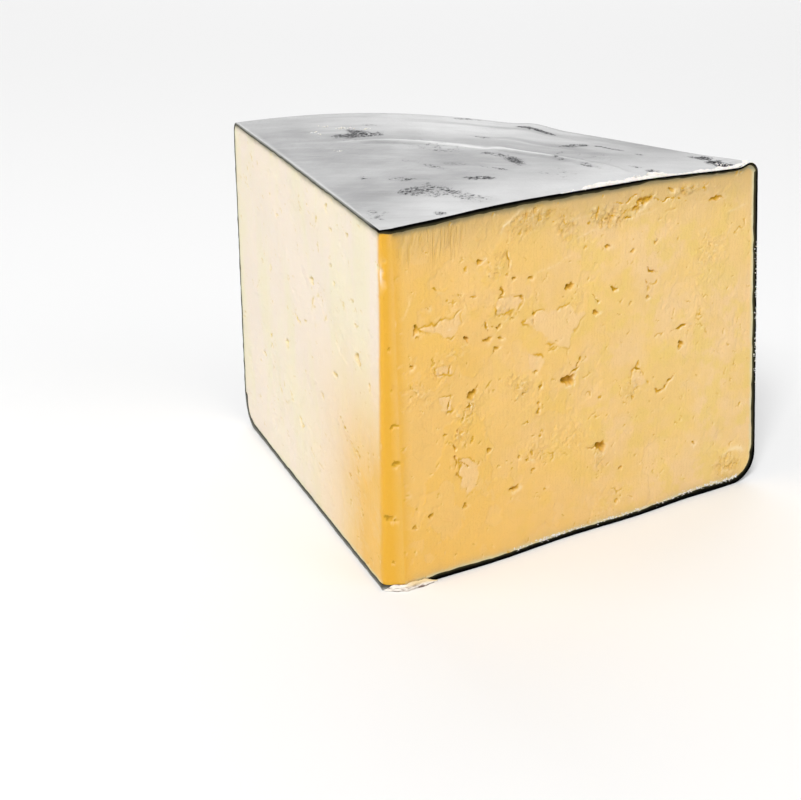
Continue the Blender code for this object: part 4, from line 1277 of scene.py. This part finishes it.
def cut_wax_material():
    """The cut edge of the wax: dull and black, olive towards the paste on the right cut, the start of the paste's band
    that is partly painted shade, and grey on the left.
    """
    make = Shader("black_wax_cut")
    right = make.mix(make.ramp("cut_depth", 0.40, 1.0), WAX_CUT, WAX_CUT_OLIVE)
    left = make.mix(make.ramp("cut_depth", 0.10, 0.55), WAX_CUT_GREY, WAX_CUT_DIM)
    colour = make.mix("cut_left", right, left)
    return make.finish(make.noise(0.0009, 3), 0.0001, Base_Color=colour, Roughness=0.8, Specular_IOR_Level=0.02)


def crumb_material():
    make = Shader("cream_crumbs")
    tone = make.ramp(make.noise(0.0025, 3), 0.35, 0.65)
    # painted shade among the crumbs, in small grey spots
    crumb_shade = make.ramp(make.noise(0.0012, 4, roughness=0.7), 0.58, 0.70)
    return make.finish(
        height=make.noise(0.0006, 3),
        depth=0.0001,
        Base_Color=make.layers(CRUMB_PINK, (tone, 1.0, CRUMB_CREAM), (crumb_shade, 0.7, CRUMB_GREY)),
        Roughness=0.55,
        Subsurface_Weight=0.3,
        Subsurface_Radius=(1.0, 0.7, 0.4),
        Subsurface_Scale=0.001,
    )


def film_material():
    make = Shader("torn_film")
    streak = make.ramp(make.noise(0.0011, 4, stretch=(0.16, 0.16, 1.0), roughness=0.7), 0.46, 0.60)
    colour = make.layers(FILM_PALE, (streak, 1.0, FILM_BROWN), ("gold", 1.0, FILM_FLAP_GOLD))
    return make.finish(make.noise(0.0010, 3), 0.0001, Base_Color=colour, Roughness=0.35)


# The stage, the lights and the camera

def add_floor():
    bpy.ops.mesh.primitive_plane_add(size=FLOOR_SIZE)
    floor = bpy.context.object
    floor.name = "floor"
    white = Shader("pale_floor").finish(Base_Color=FLOOR_WHITE, Roughness=0.9, Specular_IOR_Level=0.1)
    floor.data.materials.append(white)


def add_light(name, place, size, power):
    facing = (Vector(LIGHT_TARGET) - place).to_track_quat("-Z", "Y").to_euler()
    bpy.ops.object.light_add(type="AREA", location=place, rotation=facing)
    light = bpy.context.object
    light.name = name
    light.visible_camera = False
    light.data.shape = "RECTANGLE"
    light.data.size, light.data.size_y = size
    light.data.energy = power


def add_world():
    world = bpy.data.worlds.new("white_room")
    world.use_nodes = True
    background = world.node_tree.nodes["Background"]
    background.inputs["Color"].default_value = (1.0, 1.0, 1.0, 1.0)
    background.inputs["Strength"].default_value = WORLD_STRENGTH
    bpy.context.scene.world = world


def add_camera(place):
    bpy.ops.object.camera_add(location=place, rotation=(radians(90 - CAMERA_PITCH), 0, 0))
    camera = bpy.context.object
    camera.data.sensor_width = SENSOR
    camera.data.lens = FOCAL_PIXELS * SENSOR / PHOTO_WIDTH
    bpy.context.scene.camera = camera


def plan_middle():
    """The middle of the wedge's box in the wheel's own frame, in plan."""
    z = np.linspace(0, WHEEL_HEIGHT, PLAN_STEPS)[:, None]
    turns = np.linspace(0, 1, PLAN_STEPS)[None, :]
    rim = polar(rim_reach(turns, z), turns, z).reshape(-1, 3)
    tips = [on_cut(turn, shave_reach(turn, z[:, 0]), z[:, 0]) for turn in (0, 1)]
    points = np.concatenate([rim, *tips])
    x, y, _ = (points.min(axis=0) + points.max(axis=0)) / 2
    return Vector((x, y, 0))


def main():
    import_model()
    low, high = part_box(NODE)
    shift = (low + high) / 2 * Vector((1, 1, 0)) - plan_middle()
    crumb = crumb_material()
    pieces = [
        (make_paste(cheese_material()), "cheese"),
        (make_wax((wax_material(), cut_wax_material())), "wax"),
        (make_crumbs(crumb), "cheese"),
        (make_burr(crumb), "cheese"),
        (make_film(film_material()), "wax"),
    ]
    for piece, slot in pieces:
        piece.data.transform(Matrix.Translation(shift))
        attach(piece, "root")
        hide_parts(NODE)
    add_floor()
    for name, place, size, power in LIGHTS:
        add_light(name, Vector(place) + shift, size, power)
    add_world()
    add_camera(Vector(CAMERA_PLACE) + shift)
    bpy.context.scene.view_settings.view_transform = "Standard"


main()
